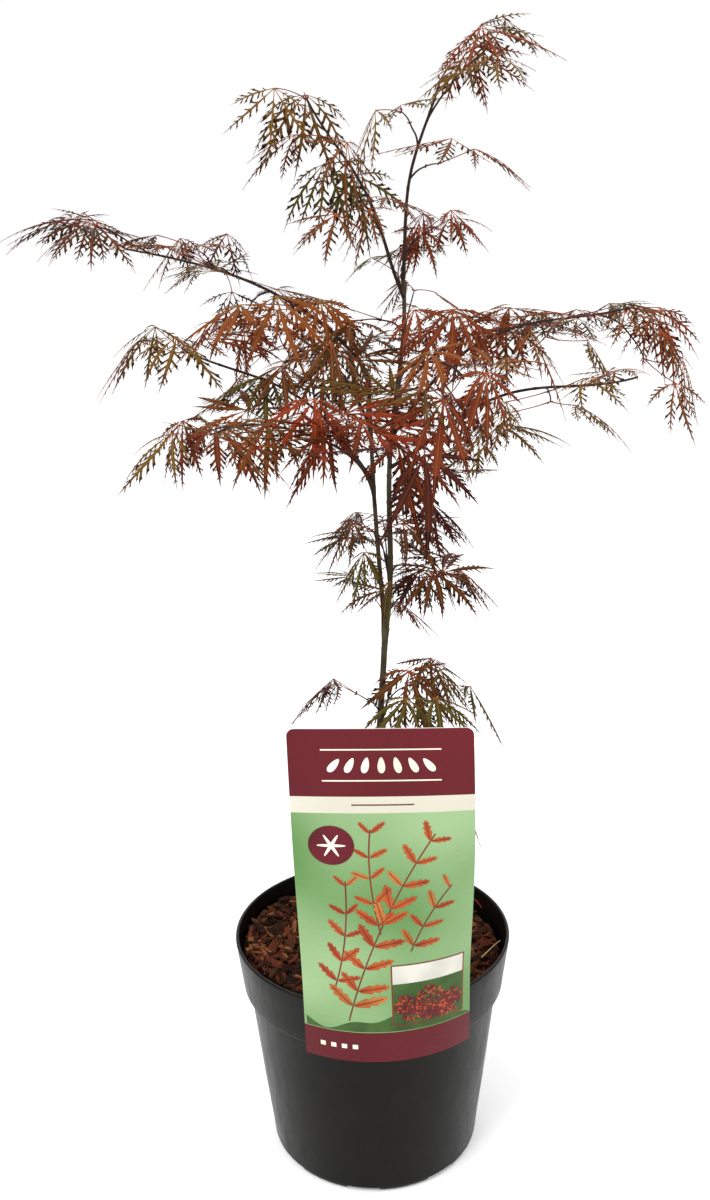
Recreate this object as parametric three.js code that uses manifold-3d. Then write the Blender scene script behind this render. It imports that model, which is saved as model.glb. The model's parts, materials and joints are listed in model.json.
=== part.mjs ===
// Young weeping laceleaf maple with red leaves, in a round black nursery pot.
// Millimetres, +Z up, +X to the right and +Y to the back.
// The origin is the centre of the pot's flat underside.
import * as THREE from 'three';
import { mergeVertices } from 'three/addons/utils/BufferGeometryUtils.js';
import Module from 'manifold-3d';

const wasm = await Module();
wasm.setup();

// ---------------------------------------------------------------- sizes (mm)
const GAP = 0.32;            // clearance between pieces that touch

const POT_RIM_R = 94.9;      // outer radius at the top of the rim band
const POT_RIM_Z = 157.9;     // height of the pot
const BAND_R = 90.2;         // outer radius at the lower edge of the rim band
const BAND_Z = 121.4;        // height of that lower edge
const BODY_R = 86.4;         // body radius just under the band
const BASE_R = 72.5;         // body radius just above the foot
const WALL = 1.6;            // wall thickness
const FLOOR_Z = 5.4;         // inside of the floor
const RECESS_Z = 3.4;        // drainage channel under the floor
const PAD_R = 46;            // flat pad in the middle of the underside
const NOTCH_W = 24;          // width of the drainage notches in the foot
const NOTCH_COUNT = 8;
const NOTCH_AT = -97;        // azimuth of the first notch, degrees
const DRAIN_R = 4.5;
const ROUND = 32;            // facets round the pot and the root ball

const SOIL_Z = 145;          // bark mulch level at the trunk
const FOOT_X = 1.8;          // where the trunk leaves the mulch

const TAG_W = 104.7;         // plastic hanging tag, width at the top
const TAG_FOOT_W = 113.6;    // and at the foot
const TAG_FOOT_X = 1.5;      // the foot's middle, past the top's
const TAG_LOW = 115.7;
const TAG_TOP = 353.6;
const TAG_X = 9.3;           // middle of the tag
const TAG_TURN = 1;          // how far it hangs askew, degrees
const TAG_T = 1.2;
const TAG_CORNER = 4.5;
const HOOK_W = 18;

// ---------------------------------------------------------------- materials
const mat = (color, roughness, metalness = 0) =>
  new THREE.MeshStandardMaterial({ color, roughness, metalness });
const POT = mat(0x17191b, 0.42);
const MULCH = mat(0x5a2c1b, 0.95);
const TAG = mat(0x6d8f5a, 0.3);
const BARK = mat(0x4b4436, 0.8);
const TWIG = mat(0x33231d, 0.75);
const LEAF = [mat(0x7a2e22, 0.7), mat(0x8f3b24, 0.7), mat(0x5b2622, 0.7), mat(0x6a4a2a, 0.7)];

const object = new THREE.Group();

// ---------------------------------------------------------------- solids
const rad = THREE.MathUtils.degToRad;

function solid(geometry) {
  const g = geometry.clone();
  g.deleteAttribute('normal');
  g.deleteAttribute('uv');
  const m = mergeVertices(g, 1e-4);
  return new wasm.Manifold(new wasm.Mesh({
    numProp: 3,
    vertProperties: new Float32Array(m.attributes.position.array),
    triVerts: new Uint32Array(m.index.array),
  }));
}

const FINE = 0.1;            // slivers along the cuts are smoothed to this
function geometryOf(manifold) {
  const mesh = manifold.simplify(FINE).getMesh();
  const g = new THREE.BufferGeometry();
  const p = new Float32Array(mesh.numVert * 3);
  for (let i = 0; i < mesh.numVert; i += 1) {
    for (let k = 0; k < 3; k += 1) p[3 * i + k] = mesh.vertProperties[mesh.numProp * i + k];
  }
  g.setAttribute('position', new THREE.BufferAttribute(p, 3));
  g.setIndex(new THREE.BufferAttribute(new Uint32Array(mesh.triVerts), 1));
  g.computeVertexNormals();
  return g;
}

function add(name, geometry, material) {
  const mesh = new THREE.Mesh(geometry, material);
  mesh.name = name;
  object.add(mesh);
  return mesh;
}

const pieces = (manifold) => manifold.decompose().sort((a, b) => b.volume() - a.volume());
const biggest = (manifold) => pieces(manifold)[0];

// small repeatable numbers from a seed
function rng(seed) {
  let s = (seed * 2654435761) >>> 0;
  return () => {
    s = (s + 0x6d2b79f5) >>> 0;
    let t = Math.imul(s ^ (s >>> 15), 1 | s);
    t = (t + Math.imul(t ^ (t >>> 7), 61 | t)) ^ t;
    return ((t ^ (t >>> 14)) >>> 0) / 4294967296;
  };
}

// ---------------------------------------------------------------- pot
function makePot() {
  const outline = [
    [0, 0], [PAD_R, 0], [PAD_R + 1.5, RECESS_Z], [60, RECESS_Z], [61.5, 0],
    [BASE_R - 2.6, 0], [BASE_R - 0.3, 2], [BASE_R + 0.6, 8],
    [BODY_R, BAND_Z - 0.8], [BAND_R, BAND_Z],
    [POT_RIM_R, POT_RIM_Z - 0.8], [POT_RIM_R - 0.7, POT_RIM_Z], [POT_RIM_R - 2.2, POT_RIM_Z], [BAND_R - WALL - 0.1, BAND_Z + 1.6],
    [BODY_R - WALL, BAND_Z - 2], [BASE_R + 0.6 - WALL, 8], [BASE_R - 3, FLOOR_Z], [0, FLOOR_Z],
  ].map(([r, z]) => new THREE.Vector2(r, z));
  const lathe = new THREE.LatheGeometry(outline, ROUND);
  lathe.rotateX(Math.PI / 2);
  let pot = solid(lathe);
  if (pot.volume() < 0) throw new Error('pot is inside out');
  for (let i = 0; i < NOTCH_COUNT; i += 1) {
    const a = rad(NOTCH_AT + (360 * i) / NOTCH_COUNT);
    const notch = new THREE.BoxGeometry(18, NOTCH_W, 4.4);
    notch.translate(67.5, 0, 0.9);
    notch.rotateZ(a);
    pot = pot.subtract(solid(notch));
    const hole = new THREE.CylinderGeometry(DRAIN_R, DRAIN_R, 10, 10);
    hole.rotateX(Math.PI / 2);
    hole.translate(53.7, 0, 3);
    hole.rotateZ(a + Math.PI / NOTCH_COUNT);
    pot = pot.subtract(solid(hole));
  }
  return biggest(pot);
}

// ---------------------------------------------------------------- root ball
// The mulch lies a little lower at the back right; it is level round the trunk.
function mulchHeight(x, y) {
  const far = Math.hypot(x - FOOT_X, y);
  const blend = THREE.MathUtils.smoothstep(far, 9, 26);
  const slope = -0.055 * x - 0.06 * y;
  const lumps = 1.3 * Math.sin(0.19 * x + 1.3) * Math.cos(0.23 * y - 0.6)
    + 0.9 * Math.sin(0.41 * x - 0.31 * y);
  return SOIL_Z + blend * (slope + lumps);
}

function makeRootBall() {
  const at = (z) => BASE_R + 0.6 - WALL
    + ((BODY_R - BASE_R - 0.6) * (z - 8)) / (BAND_Z - 2 - 8) - GAP - 0.1;
  const outline = [
    [0, FLOOR_Z + GAP], [BASE_R - 3.8, FLOOR_Z + GAP], [at(9), 9], [BODY_R - WALL - 0.6, BAND_Z - 1.6],
    [BAND_R - WALL - 0.7, BAND_Z + 2.6], [90.2, 141], [80, SOIL_Z], [62, SOIL_Z],
    [44, SOIL_Z], [26, SOIL_Z], [9, SOIL_Z], [0, SOIL_Z],
  ].map(([r, z]) => new THREE.Vector2(r, z));
  const lathe = new THREE.LatheGeometry(outline, ROUND);
  lathe.rotateX(Math.PI / 2);
  const p = lathe.attributes.position;
  for (let i = 0; i < p.count; i += 1) {
    if (p.getZ(i) > 139) {
      const r = Math.hypot(p.getX(i), p.getY(i));
      const h = mulchHeight(p.getX(i), p.getY(i));
      p.setZ(i, r > 86 ? Math.min(h - 2.5, 146) : h);
      if (r > 86) {
        const wall = BAND_R - WALL - 0.1 + ((POT_RIM_R - 2.2 - BAND_R + WALL + 0.1)
          * (p.getZ(i) - BAND_Z - 1.6)) / (POT_RIM_Z - BAND_Z - 1.6) - GAP - 0.6;
        const k = wall / r;
        p.setX(i, p.getX(i) * k);
        p.setY(i, p.getY(i) * k);
      }
    }
  }
  return solid(lathe);
}

// ---------------------------------------------------------------- hanging tag
// A thin plate that lies against the sloping rim band, follows its curve at
// the bottom, flattens towards the top and hangs on a hook over the rim.
const bandSlope = (POT_RIM_R - BAND_R) / (POT_RIM_Z - BAND_Z);
const tagFront = (z) => -(POT_RIM_R + GAP + 0.5 + TAG_T + (z - POT_RIM_Z) * bandSlope);

function makeTag() {
  const plate = new THREE.BoxGeometry(1, 1, 1, 10, 9, 1);
  const p = plate.attributes.position;
  const height = TAG_TOP - TAG_LOW;
  for (let i = 0; i < p.count; i += 1) {
    const row = p.getY(i) + 0.5;
    const h = (1 - (1 - row) ** 2) * height;
    const down = height - h;
    let half = THREE.MathUtils.lerp(TAG_FOOT_W, TAG_W, h / height) / 2;
    if (down < TAG_CORNER) half -= TAG_CORNER - Math.sqrt(TAG_CORNER ** 2 - (TAG_CORNER - down) ** 2);
    const s0 = p.getX(i) * 2 * half;
    const h0 = TAG_LOW + h - POT_RIM_Z;
    const s = s0 - h0 * Math.sin(rad(TAG_TURN)) + TAG_FOOT_X * (1 - h / height);
    const z = POT_RIM_Z + h0 - s0 * Math.sin(rad(TAG_TURN)) * 0.5;
    const bend = THREE.MathUtils.lerp(-1 / tagFront(z), 0.0006,
      THREE.MathUtils.smoothstep(z, POT_RIM_Z + 4, POT_RIM_Z + 190));
    const a = s * bend;
    const back = p.getZ(i) < 0 ? TAG_T : 0;
    // the arc is centred on the pot's axis, so the shift to TAG_X turns the plate
    const turn = TAG_X * bend;
    const r = 1 / bend - back;
    const centreY = tagFront(z) + 1 / bend;
    const x0 = TAG_X - turn / bend;
    p.setXYZ(i, x0 + r * Math.sin(a + turn), centreY - r * Math.cos(a + turn), z);
  }
  plate.computeVertexNormals();
  let tag = solid(plate);
  if (tag.volume() < 0) throw new Error('tag is inside out');
  const backAt = (z) => tagFront(z) + TAG_T;
  const yIn = -(POT_RIM_R - 3.4);
  const side = new THREE.Shape();
  side.moveTo(backAt(165) - 0.5, 165);
  side.lineTo(backAt(POT_RIM_Z + GAP) - 0.5, POT_RIM_Z + GAP);
  side.lineTo(yIn, POT_RIM_Z + GAP);
  side.lineTo(yIn + 0.9, 152);
  side.lineTo(yIn + 2.1, 151.6);
  side.lineTo(yIn + 1.5, POT_RIM_Z + 1.4);
  side.lineTo(yIn + 0.6, POT_RIM_Z + 2);
  side.lineTo(backAt(165) + 1, POT_RIM_Z + 2.2);
  side.closePath();
  const hook = new THREE.ExtrudeGeometry(side, { depth: HOOK_W, bevelEnabled: false });
  // shape x is the object's y, shape y is its z, and the depth runs along x
  hook.applyMatrix4(new THREE.Matrix4().set(0, 0, 1, -HOOK_W / 2, 1, 0, 0, 0, 0, 1, 0, 0, 0, 0, 0, 1));
  return biggest(tag.add(solid(hook)));
}

// ---------------------------------------------------------------- limbs
// Each limb leaves its parent at a share of the parent's length, with a
// heading and a rise in degrees; over its length the heading turns, the rise
// falls away by "droop" with the power "ease", and both may sway.
const LIMBS = {
  //                from          share  head   rise   length turn  droop  ease  sway  bob   r0    r1   sides steps
  trunk:            [null,         0,     21.6,  88.0, 229.8, -8.4,  -1.0, 1.00,  5.4,  1.4, 2.6,  2.0, 8, 12],
  stem_main:        ['trunk',      1.0,   18.9,  78.7, 219.5, -7.6,  16.7, 1.15, -1.3,  8.8, 1.85, 1.25, 6, 9],
  leader_right:     ['stem_main',  1.0,  -45.8,  83.0, 113.2,  7.6, -13.2, 0.90, -27.1, 4.3, 1.2,  0.65, 5, 6],
  leader_left:      ['stem_main',  0.95, 170.3,  64.8, 128.0,  1.8,  -2.1, 0.61, -2.5,  9.1, 1.1,  0.6, 5, 6],
  stem_left:        ['trunk',      0.985, 138.9, 84.8, 164.1,  0.0,   1.8, 0.87, -11.6, -2.0, 1.6, 1.15, 6, 7],
  bough_left_upper: ['stem_left',  1.0,  160.9,  78.3, 175.7, 23.2, -67.2, 0.33,  6.1,  2.5, 1.15, 0.6, 5, 9],
  bough_left_mid:   ['stem_left',  0.60, -155.2, 62.0, 149.2, -4.1, -36.1, 0.40,  4.4,  9.6, 1.1,  0.6, 5, 8],
  bough_left_front: ['stem_left',  0.50, -125.9, 93.0, 155.1, -13.2, -109.3, 0.62, 5.1, -9.7, 1.1, 0.6, 5, 8],
  bough_right_upper: ['stem_main', 0.558, -5.4,  68.9, 169.9, -0.5, -56.6, 0.41, -0.7, 11.7, 1.2,  0.6, 5, 8],
  bough_right_mid:  ['stem_main',  0.475, -18.0, 32.1, 165.4, -1.2, -14.8, 0.35, -1.2, 15.6, 1.15, 0.6, 5, 8],
  bough_front:      ['stem_main',  0.583, -71.2, 45.6, 141.0, -6.8, -68.6, 1.50, -16.6, 0.0, 1.1,  0.6, 5, 7],
  bough_back_left:  ['stem_left',  0.80, 125.0,  62.0, 165.0,  8.0, -62.0, 0.60,  5.0,  4.0, 1.1,  0.6, 5, 7],
  bough_back_right: ['stem_main',  0.66,  52.0,  50.0, 160.0, -6.0, -60.0, 0.60, -5.0,  4.0, 1.1,  0.6, 5, 7],
  bough_back:       ['stem_left',  0.55,  88.0,  64.0, 150.0,  6.0, -72.0, 0.70,  6.0,  0.0, 1.05, 0.6, 5, 6],
  low_shoot:        ['trunk',      0.66, -40.0,  78.0,  46.0, 20.0,  -6.0, 1.00,  0.0,  0.0, 0.8,  0.5, 5, 4],
  low_shoot_back:   ['trunk',      0.20,  34.0,  58.0,  76.0,  6.0, -40.0, 1.00,  0.0,  0.0, 0.85, 0.5, 5, 5],
};
const FLARE = 2.7;           // root flare added at the foot of the trunk
const FLARE_H = 13;
const KNUCKLE = 0.7;         // swelling where the trunk forks

const paths = {};
function limbPath(name) {
  if (paths[name]) return paths[name];
  const [from, share, head, rise, length, turn, droop, ease, sway, bob] = LIMBS[name];
  const n = 48;
  const start = from ? pointOn(from, share) : new THREE.Vector3(FOOT_X, 0, SOIL_Z + GAP);
  const path = [start];
  for (let i = 0; i < n; i += 1) {
    const t = (i + 0.5) / n;
    const a = rad(head + turn * t + sway * Math.sin(2 * Math.PI * t));
    const e = rad(rise + droop * t ** ease + bob * Math.sin(2 * Math.PI * t));
    path.push(path[i].clone().add(new THREE.Vector3(
      Math.cos(e) * Math.cos(a), Math.cos(e) * Math.sin(a), Math.sin(e),
    ).multiplyScalar(length / n)));
  }
  paths[name] = path;
  return path;
}

function pointOn(name, share) {
  const path = limbPath(name);
  const f = THREE.MathUtils.clamp(share, 0, 1) * (path.length - 1);
  const i = Math.min(Math.floor(f), path.length - 2);
  return path[i].clone().lerp(path[i + 1], f - i);
}

// A tapering limb: a cylinder laid along the path. "grow" widens it, to make
// the room that its neighbours leave free.
function limb(name, grow = 0) {
  const [from, , , , length, , , , , , r0, r1, sides, steps] = LIMBS[name];
  const g = new THREE.CylinderGeometry(1, 1, 1, sides, steps, false);
  const frames = [];
  let side = new THREE.Vector3(1, 0, 0);
  for (let i = 0; i <= steps; i += 1) {
    const t = i / steps;
    const tangent = pointOn(name, Math.min(1, t + 0.02)).sub(pointOn(name, Math.max(0, t - 0.02))).normalize();
    if (!from && i === 0) tangent.set(0, 0, 1);
    side = side.clone().addScaledVector(tangent, -side.dot(tangent)).normalize();
    const other = new THREE.Vector3().crossVectors(tangent, side);
    let r = THREE.MathUtils.lerp(r0, r1, t);
    if (!from) {
      r += FLARE * Math.exp((-t * length) / FLARE_H)
        + KNUCKLE * Math.exp(-(((1 - t) * length) ** 2) / 60);
    }
    const end = (i === 0 ? -grow : 0) + (i === steps ? grow : 0);
    frames.push({ c: pointOn(name, t).addScaledVector(tangent, end), side, other, r: r + grow });
  }
  const p = g.attributes.position;
  for (let i = 0; i < p.count; i += 1) {
    const f = frames[Math.round((p.getY(i) + 0.5) * steps)];
    // x and -z keep the cylinder's faces pointing out
    const v = f.c.clone()
      .addScaledVector(f.side, -p.getX(i) * f.r)
      .addScaledVector(f.other, p.getZ(i) * f.r);
    p.setXYZ(i, v.x, v.y, v.z);
  }
  const s = solid(g);
  return s;
}

// ---------------------------------------------------------------- foliage
// Each mass is an uneven drooping pad. It belongs to a limb at a share of its
// length; its middle is "out" mm away along the heading "toward" and "down"
// mm lower. Then come its half length, half width and half height, its tilt
// about the Y axis, how far its ends hang, and the seed of its lumps.
const MASSES = {
  crown_top_right:       ['leader_right', 1.00, 3, 38.5, -2.9, 42, 36, 25, 10, 16, 11],
  crown_top_small:       ['leader_right', 0.68, 161, 16.1, -8.8, 23, 24, 12, 4, 12, 12],
  crown_right_high:      ['leader_right', 0.48, -16, 35.1, -2.4, 30, 30, 14, -6, 15, 13],
  crown_right_shoulder:  ['leader_right', 0.22, 4, 33.7, 11.2, 34, 34, 17, -12, 17, 14],
  crown_top_left:        ['leader_left', 1.00, 177, 35.2, 26.8, 33, 32, 23, 12, 20, 15],
  crown_left_high:       ['leader_left', 0.84, -119, 8.2, 16.1, 25, 30, 20, -4, 23, 16],
  crown_left_shoulder:   ['leader_left', 0.42, -151, 28.0, 15.0, 32, 36, 23, 8, 23, 17],
  far_left_tip:          ['bough_left_upper', 0.98, 179, 35.6, -0.7, 48, 30, 18, 12, 15, 18],
  far_left_inner:        ['bough_left_upper', 0.70, -127, 5.1, 2.9, 41, 32, 15, -8, 11, 19],
  left_arch:             ['bough_left_upper', 0.34, -140, 19.1, 14.2, 46, 44, 19, 4, 17, 20],
  left_outer:            ['bough_left_mid', 0.96, -177, 30.8, 7.0, 44, 36, 19, 10, 16, 21],
  left_heart:            ['bough_left_mid', 0.60, -34, 8.9, 8.9, 48, 36, 17, 6, 15, 22],
  left_low_tip:          ['bough_left_front', 0.98, 173, 16.3, 23.7, 40, 36, 24, 16, 27, 23],
  left_low_front:        ['bough_left_front', 0.70, -56, 20.7, 23.8, 48, 36, 26, 6, 29, 24],
  centre_high:           ['stem_main', 0.86, -118, 25.1, 3.7, 27, 34, 16, 0, 14, 25],
  front_centre:          ['bough_front', 0.86, -36, 13.1, 31.7, 41, 38, 22, -8, 25, 26],
  right_inner:           ['bough_right_upper', 0.36, -40, 9.4, -3.7, 37, 40, 19, 4, 16, 27],
  right_outer:           ['bough_right_upper', 0.80, 11, 2.7, 13.3, 40, 36, 18, -2, 16, 28],
  right_tip:             ['bough_right_upper', 1.00, -12, 21.5, 46.0, 33, 30, 34, -28, 39, 29],
  right_low_outer:       ['bough_right_mid', 0.86, -155, 16.7, 19.6, 39, 32, 16, -10, 16, 30],
  right_low:             ['bough_right_mid', 0.46, -158, 19.2, 24.5, 37, 36, 18, 4, 18, 31],
  under_right:           ['stem_main', 0.36, -36, 33.6, 2.0, 25, 34, 27, -10, 27, 32],
  under_left:            ['stem_left', 0.42, -127, 27.7, 11.1, 24, 34, 20, 8, 20, 33],
  low_right:             ['stem_main', 0.18, -19, 41.5, 20.9, 29, 32, 19, -8, 19, 34],
  low_left:              ['trunk', 0.98, -139, 28.3, -24.6, 32, 30, 21, 6, 18, 35],
  foot_right:            ['low_shoot', 1.00, -28, 37.8, 15.5, 35, 34, 23, -8, 23, 36],
  foot_left:             ['low_shoot', 0.60, -159, 32.9, -5.4, 24, 26, 14, 6, 14, 37],
  foot_behind:           ['low_shoot_back', 1.00, 23, 15.7, 14.2, 28, 32, 34, -4, 30, 38],
  back_left:             ['bough_back_left', 0.86, 29, 15.0, 34.9, 45, 44, 31, 6, 31, 39],
  back_right:            ['bough_back_right', 0.86, 107, 9.6, 20.7, 38, 44, 26, -4, 26, 40],
  back_centre:           ['bough_back', 0.86, 177, 0.4, 13.7, 36, 42, 29, 0, 29, 41],
  back_high:             ['stem_main', 0.90, 90, 51.7, -10.0, 33, 34, 20, 0, 18, 42],
  back_low:              ['stem_main', 0.30, 80, 55.2, 24.6, 34, 34, 30, 0, 30, 43],
};

function lumps(seed) {
  const next = rng(seed);
  const waves = [];
  for (let i = 0; i < 6; i += 1) {
    const v = new THREE.Vector3(next() - 0.5, next() - 0.5, (next() - 0.5) * 0.7).normalize();
    waves.push([v.multiplyScalar(i < 3 ? 2.6 : 5.2), next() * 6.283, i < 3 ? 0.085 : 0.055]);
  }
  return (d) => waves.reduce((s, [v, phase, size]) => s + size * Math.sin(v.dot(d) + phase), 0);
}

function foliage(name, grow = 0) {
  const [on, share, toward, out, down, half, wide, high, tilt, hang, seed] = MASSES[name];
  const centre = pointOn(on, share).add(new THREE.Vector3(
    out * Math.cos(rad(toward)), out * Math.sin(rad(toward)), -down));
  const g = new THREE.SphereGeometry(1, 11, 7);
  g.rotateX(Math.PI / 2);
  g.rotateZ(seed);
  const bump = lumps(seed);
  const p = g.attributes.position;
  const turnTilt = new THREE.Matrix4().makeRotationY(-rad(tilt));
  for (let i = 0; i < p.count; i += 1) {
    const d = new THREE.Vector3(p.getX(i), p.getY(i), p.getZ(i)).normalize();
    const r = 1 + bump(d);
    const v = new THREE.Vector3(
      d.x * (half * r + grow), d.y * (wide * r + grow), d.z * (high * r * (d.z < 0 ? 0.8 : 1) + grow));
    const reach = (d.x * r) ** 2 * 0.75 + (d.y * r) ** 2 * 0.45;
    v.z -= hang * (reach - 0.4);
    v.applyMatrix4(turnTilt).add(centre);
    p.setXYZ(i, v.x, v.y, v.z);
  }
  return solid(g);
}

// ---------------------------------------------------------------- assembly
add('pot', geometryOf(makePot()), POT);
add('root_ball', geometryOf(makeRootBall()), MULCH);
add('hanging_tag', geometryOf(makeTag()), TAG);

// stems stay whole through the foliage; a leader ends where its last mass begins
const STEMS = ['trunk', 'stem_main', 'stem_left', 'leader_right', 'leader_left'];
const LAST = { leader_right: 'crown_top_right', leader_left: 'crown_top_left' };
const room = {};
for (const name of Object.keys(LIMBS)) room[name] = limb(name, GAP);
const leafRoom = {};
for (const name of Object.keys(MASSES)) leafRoom[name] = foliage(name, GAP);

const done = [];
for (const name of STEMS) {
  let s = limb(name);
  for (const other of done) s = s.subtract(room[other]);
  if (LAST[name]) s = s.subtract(leafRoom[LAST[name]]);
  add(name, geometryOf(biggest(s)), BARK);
  done.push(name);
}

// a bough is cut by its parent and by every mass that it enters; what shows
// again between two masses is the next stretch of the same bough
const STRETCH = 16;          // mm of bough worth a piece of its own
for (const name of Object.keys(LIMBS)) {
  if (STEMS.includes(name)) continue;
  let s = limb(name);
  for (const other of done) s = s.subtract(room[other]);
  for (const mass of Object.keys(MASSES)) s = s.subtract(leafRoom[mass]);
  done.push(name);
  const start = pointOn(name, 0);
  const stretches = pieces(s).filter((q) => {
    const b = q.boundingBox();
    return Math.hypot(...[0, 1, 2].map((k) => b.max[k] - b.min[k])) > STRETCH;
  });
  const near = (q) => {
    const b = q.boundingBox();
    return start.distanceTo(new THREE.Vector3(...[0, 1, 2].map((k) => (b.max[k] + b.min[k]) / 2)));
  };
  stretches.sort((a, b) => near(a) - near(b));
  stretches.forEach((q, i) => add(i ? `${name}_${i + 1}` : name, geometryOf(q), TWIG));
}

const placed = [];
let colour = 0;
for (const name of Object.keys(MASSES)) {
  let s = foliage(name);
  for (const stem of STEMS) s = s.subtract(room[stem]);
  for (const other of placed) s = s.subtract(leafRoom[other]);
  placed.push(name);
  add(name, geometryOf(biggest(s)), LEAF[colour % LEAF.length]);
  colour += 1;
}

export default object;
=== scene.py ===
"""Young weeping laceleaf maple with red and bronze leaves, in a round black nursery pot.

Everything is worked out in millimetres in the row frame and turned into
metres where a mesh is made. The limbs and the places of the foliage masses
are the same named sizes as the solids; the twigs, leaf stalks and leaves
grow on from the limbs by a seeded rule.
"""
import json
import math
import random
import bpy
import bmesh
import numpy as np
from mathutils import Matrix

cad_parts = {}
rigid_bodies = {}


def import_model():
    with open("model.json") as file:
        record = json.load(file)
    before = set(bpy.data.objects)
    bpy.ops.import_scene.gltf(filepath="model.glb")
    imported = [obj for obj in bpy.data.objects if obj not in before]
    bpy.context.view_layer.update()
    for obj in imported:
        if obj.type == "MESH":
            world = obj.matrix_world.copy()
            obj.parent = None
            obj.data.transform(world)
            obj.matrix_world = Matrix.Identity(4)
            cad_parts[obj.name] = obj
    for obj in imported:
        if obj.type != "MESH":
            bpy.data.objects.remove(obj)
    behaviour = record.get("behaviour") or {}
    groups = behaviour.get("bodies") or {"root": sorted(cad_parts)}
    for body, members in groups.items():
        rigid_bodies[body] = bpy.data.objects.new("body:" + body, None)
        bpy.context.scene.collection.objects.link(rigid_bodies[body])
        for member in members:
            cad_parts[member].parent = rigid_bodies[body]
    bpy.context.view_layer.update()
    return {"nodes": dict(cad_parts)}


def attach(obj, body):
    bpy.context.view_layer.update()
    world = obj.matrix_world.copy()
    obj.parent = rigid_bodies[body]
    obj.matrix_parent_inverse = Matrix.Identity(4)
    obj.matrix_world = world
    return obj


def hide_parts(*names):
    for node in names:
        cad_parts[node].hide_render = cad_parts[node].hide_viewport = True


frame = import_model()
MM = 0.001


def vec(x, y, z):
    return np.array((x, y, z), float)


UP = vec(0, 0, 1)


def unit(v):
    return v / max(1e-9, math.sqrt(float(v @ v)))


# ------------------------------------------------------------------ limbs
# from, share, heading, rise, length, turn, droop, ease, sway, bob, radii
LIMBS = {
    "trunk": [None, 0, 21.6, 88, 229.8, -8.4, -1, 1, 5.4, 1.4, 2.6, 2, 8, 12],
    "stem_main": ["trunk", 1, 18.9, 78.7, 219.5, -7.6, 16.7, 1.15, -1.3, 8.8, 1.85, 1.25, 6, 9],
    "leader_right": ["stem_main", 1, -45.8, 83, 113.2, 7.6, -13.2, 0.9, -27.1, 4.3, 1.2, 0.65, 5, 6],
    "leader_left": ["stem_main", 0.95, 170.3, 64.8, 128, 1.8, -2.1, 0.61, -2.5, 9.1, 1.1, 0.6, 5, 6],
    "stem_left": ["trunk", 0.985, 138.9, 84.8, 164.1, 0, 1.8, 0.87, -11.6, -2, 1.6, 1.15, 6, 7],
    "bough_left_upper": ["stem_left", 1, 160.9, 78.3, 175.7, 23.2, -67.2, 0.33, 6.1, 2.5, 1.15, 0.6, 5, 9],
    "bough_left_mid": ["stem_left", 0.6, -155.2, 62, 149.2, -4.1, -36.1, 0.4, 4.4, 9.6, 1.1, 0.6, 5, 8],
    "bough_left_front": ["stem_left", 0.5, -125.9, 93, 155.1, -13.2, -109.3, 0.62, 5.1, -9.7, 1.1, 0.6, 5, 8],
    "bough_right_upper": ["stem_main", 0.558, -5.4, 68.9, 169.9, -0.5, -56.6, 0.41, -0.7, 11.7, 1.2, 0.6, 5, 8],
    "bough_right_mid": ["stem_main", 0.475, -18, 32.1, 165.4, -1.2, -14.8, 0.35, -1.2, 15.6, 1.15, 0.6, 5, 8],
    "bough_front": ["stem_main", 0.583, -71.2, 45.6, 141, -6.8, -68.6, 1.5, -16.6, 0, 1.1, 0.6, 5, 7],
    "bough_back_left": ["stem_left", 0.8, 125, 62, 165, 8, -62, 0.6, 5, 4, 1.1, 0.6, 5, 7],
    "bough_back_right": ["stem_main", 0.66, 52, 50, 160, -6, -60, 0.6, -5, 4, 1.1, 0.6, 5, 7],
    "bough_back": ["stem_left", 0.55, 88, 64, 150, 6, -72, 0.7, 6, 0, 1.05, 0.6, 5, 6],
    "low_shoot": ["trunk", 0.66, -40, 78, 46, 20, -6, 1, 0, 0, 0.8, 0.5, 5, 4],
    "low_shoot_back": ["trunk", 0.2, 34, 58, 76, 6, -40, 1, 0, 0, 0.85, 0.5, 5, 5],
}
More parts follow.
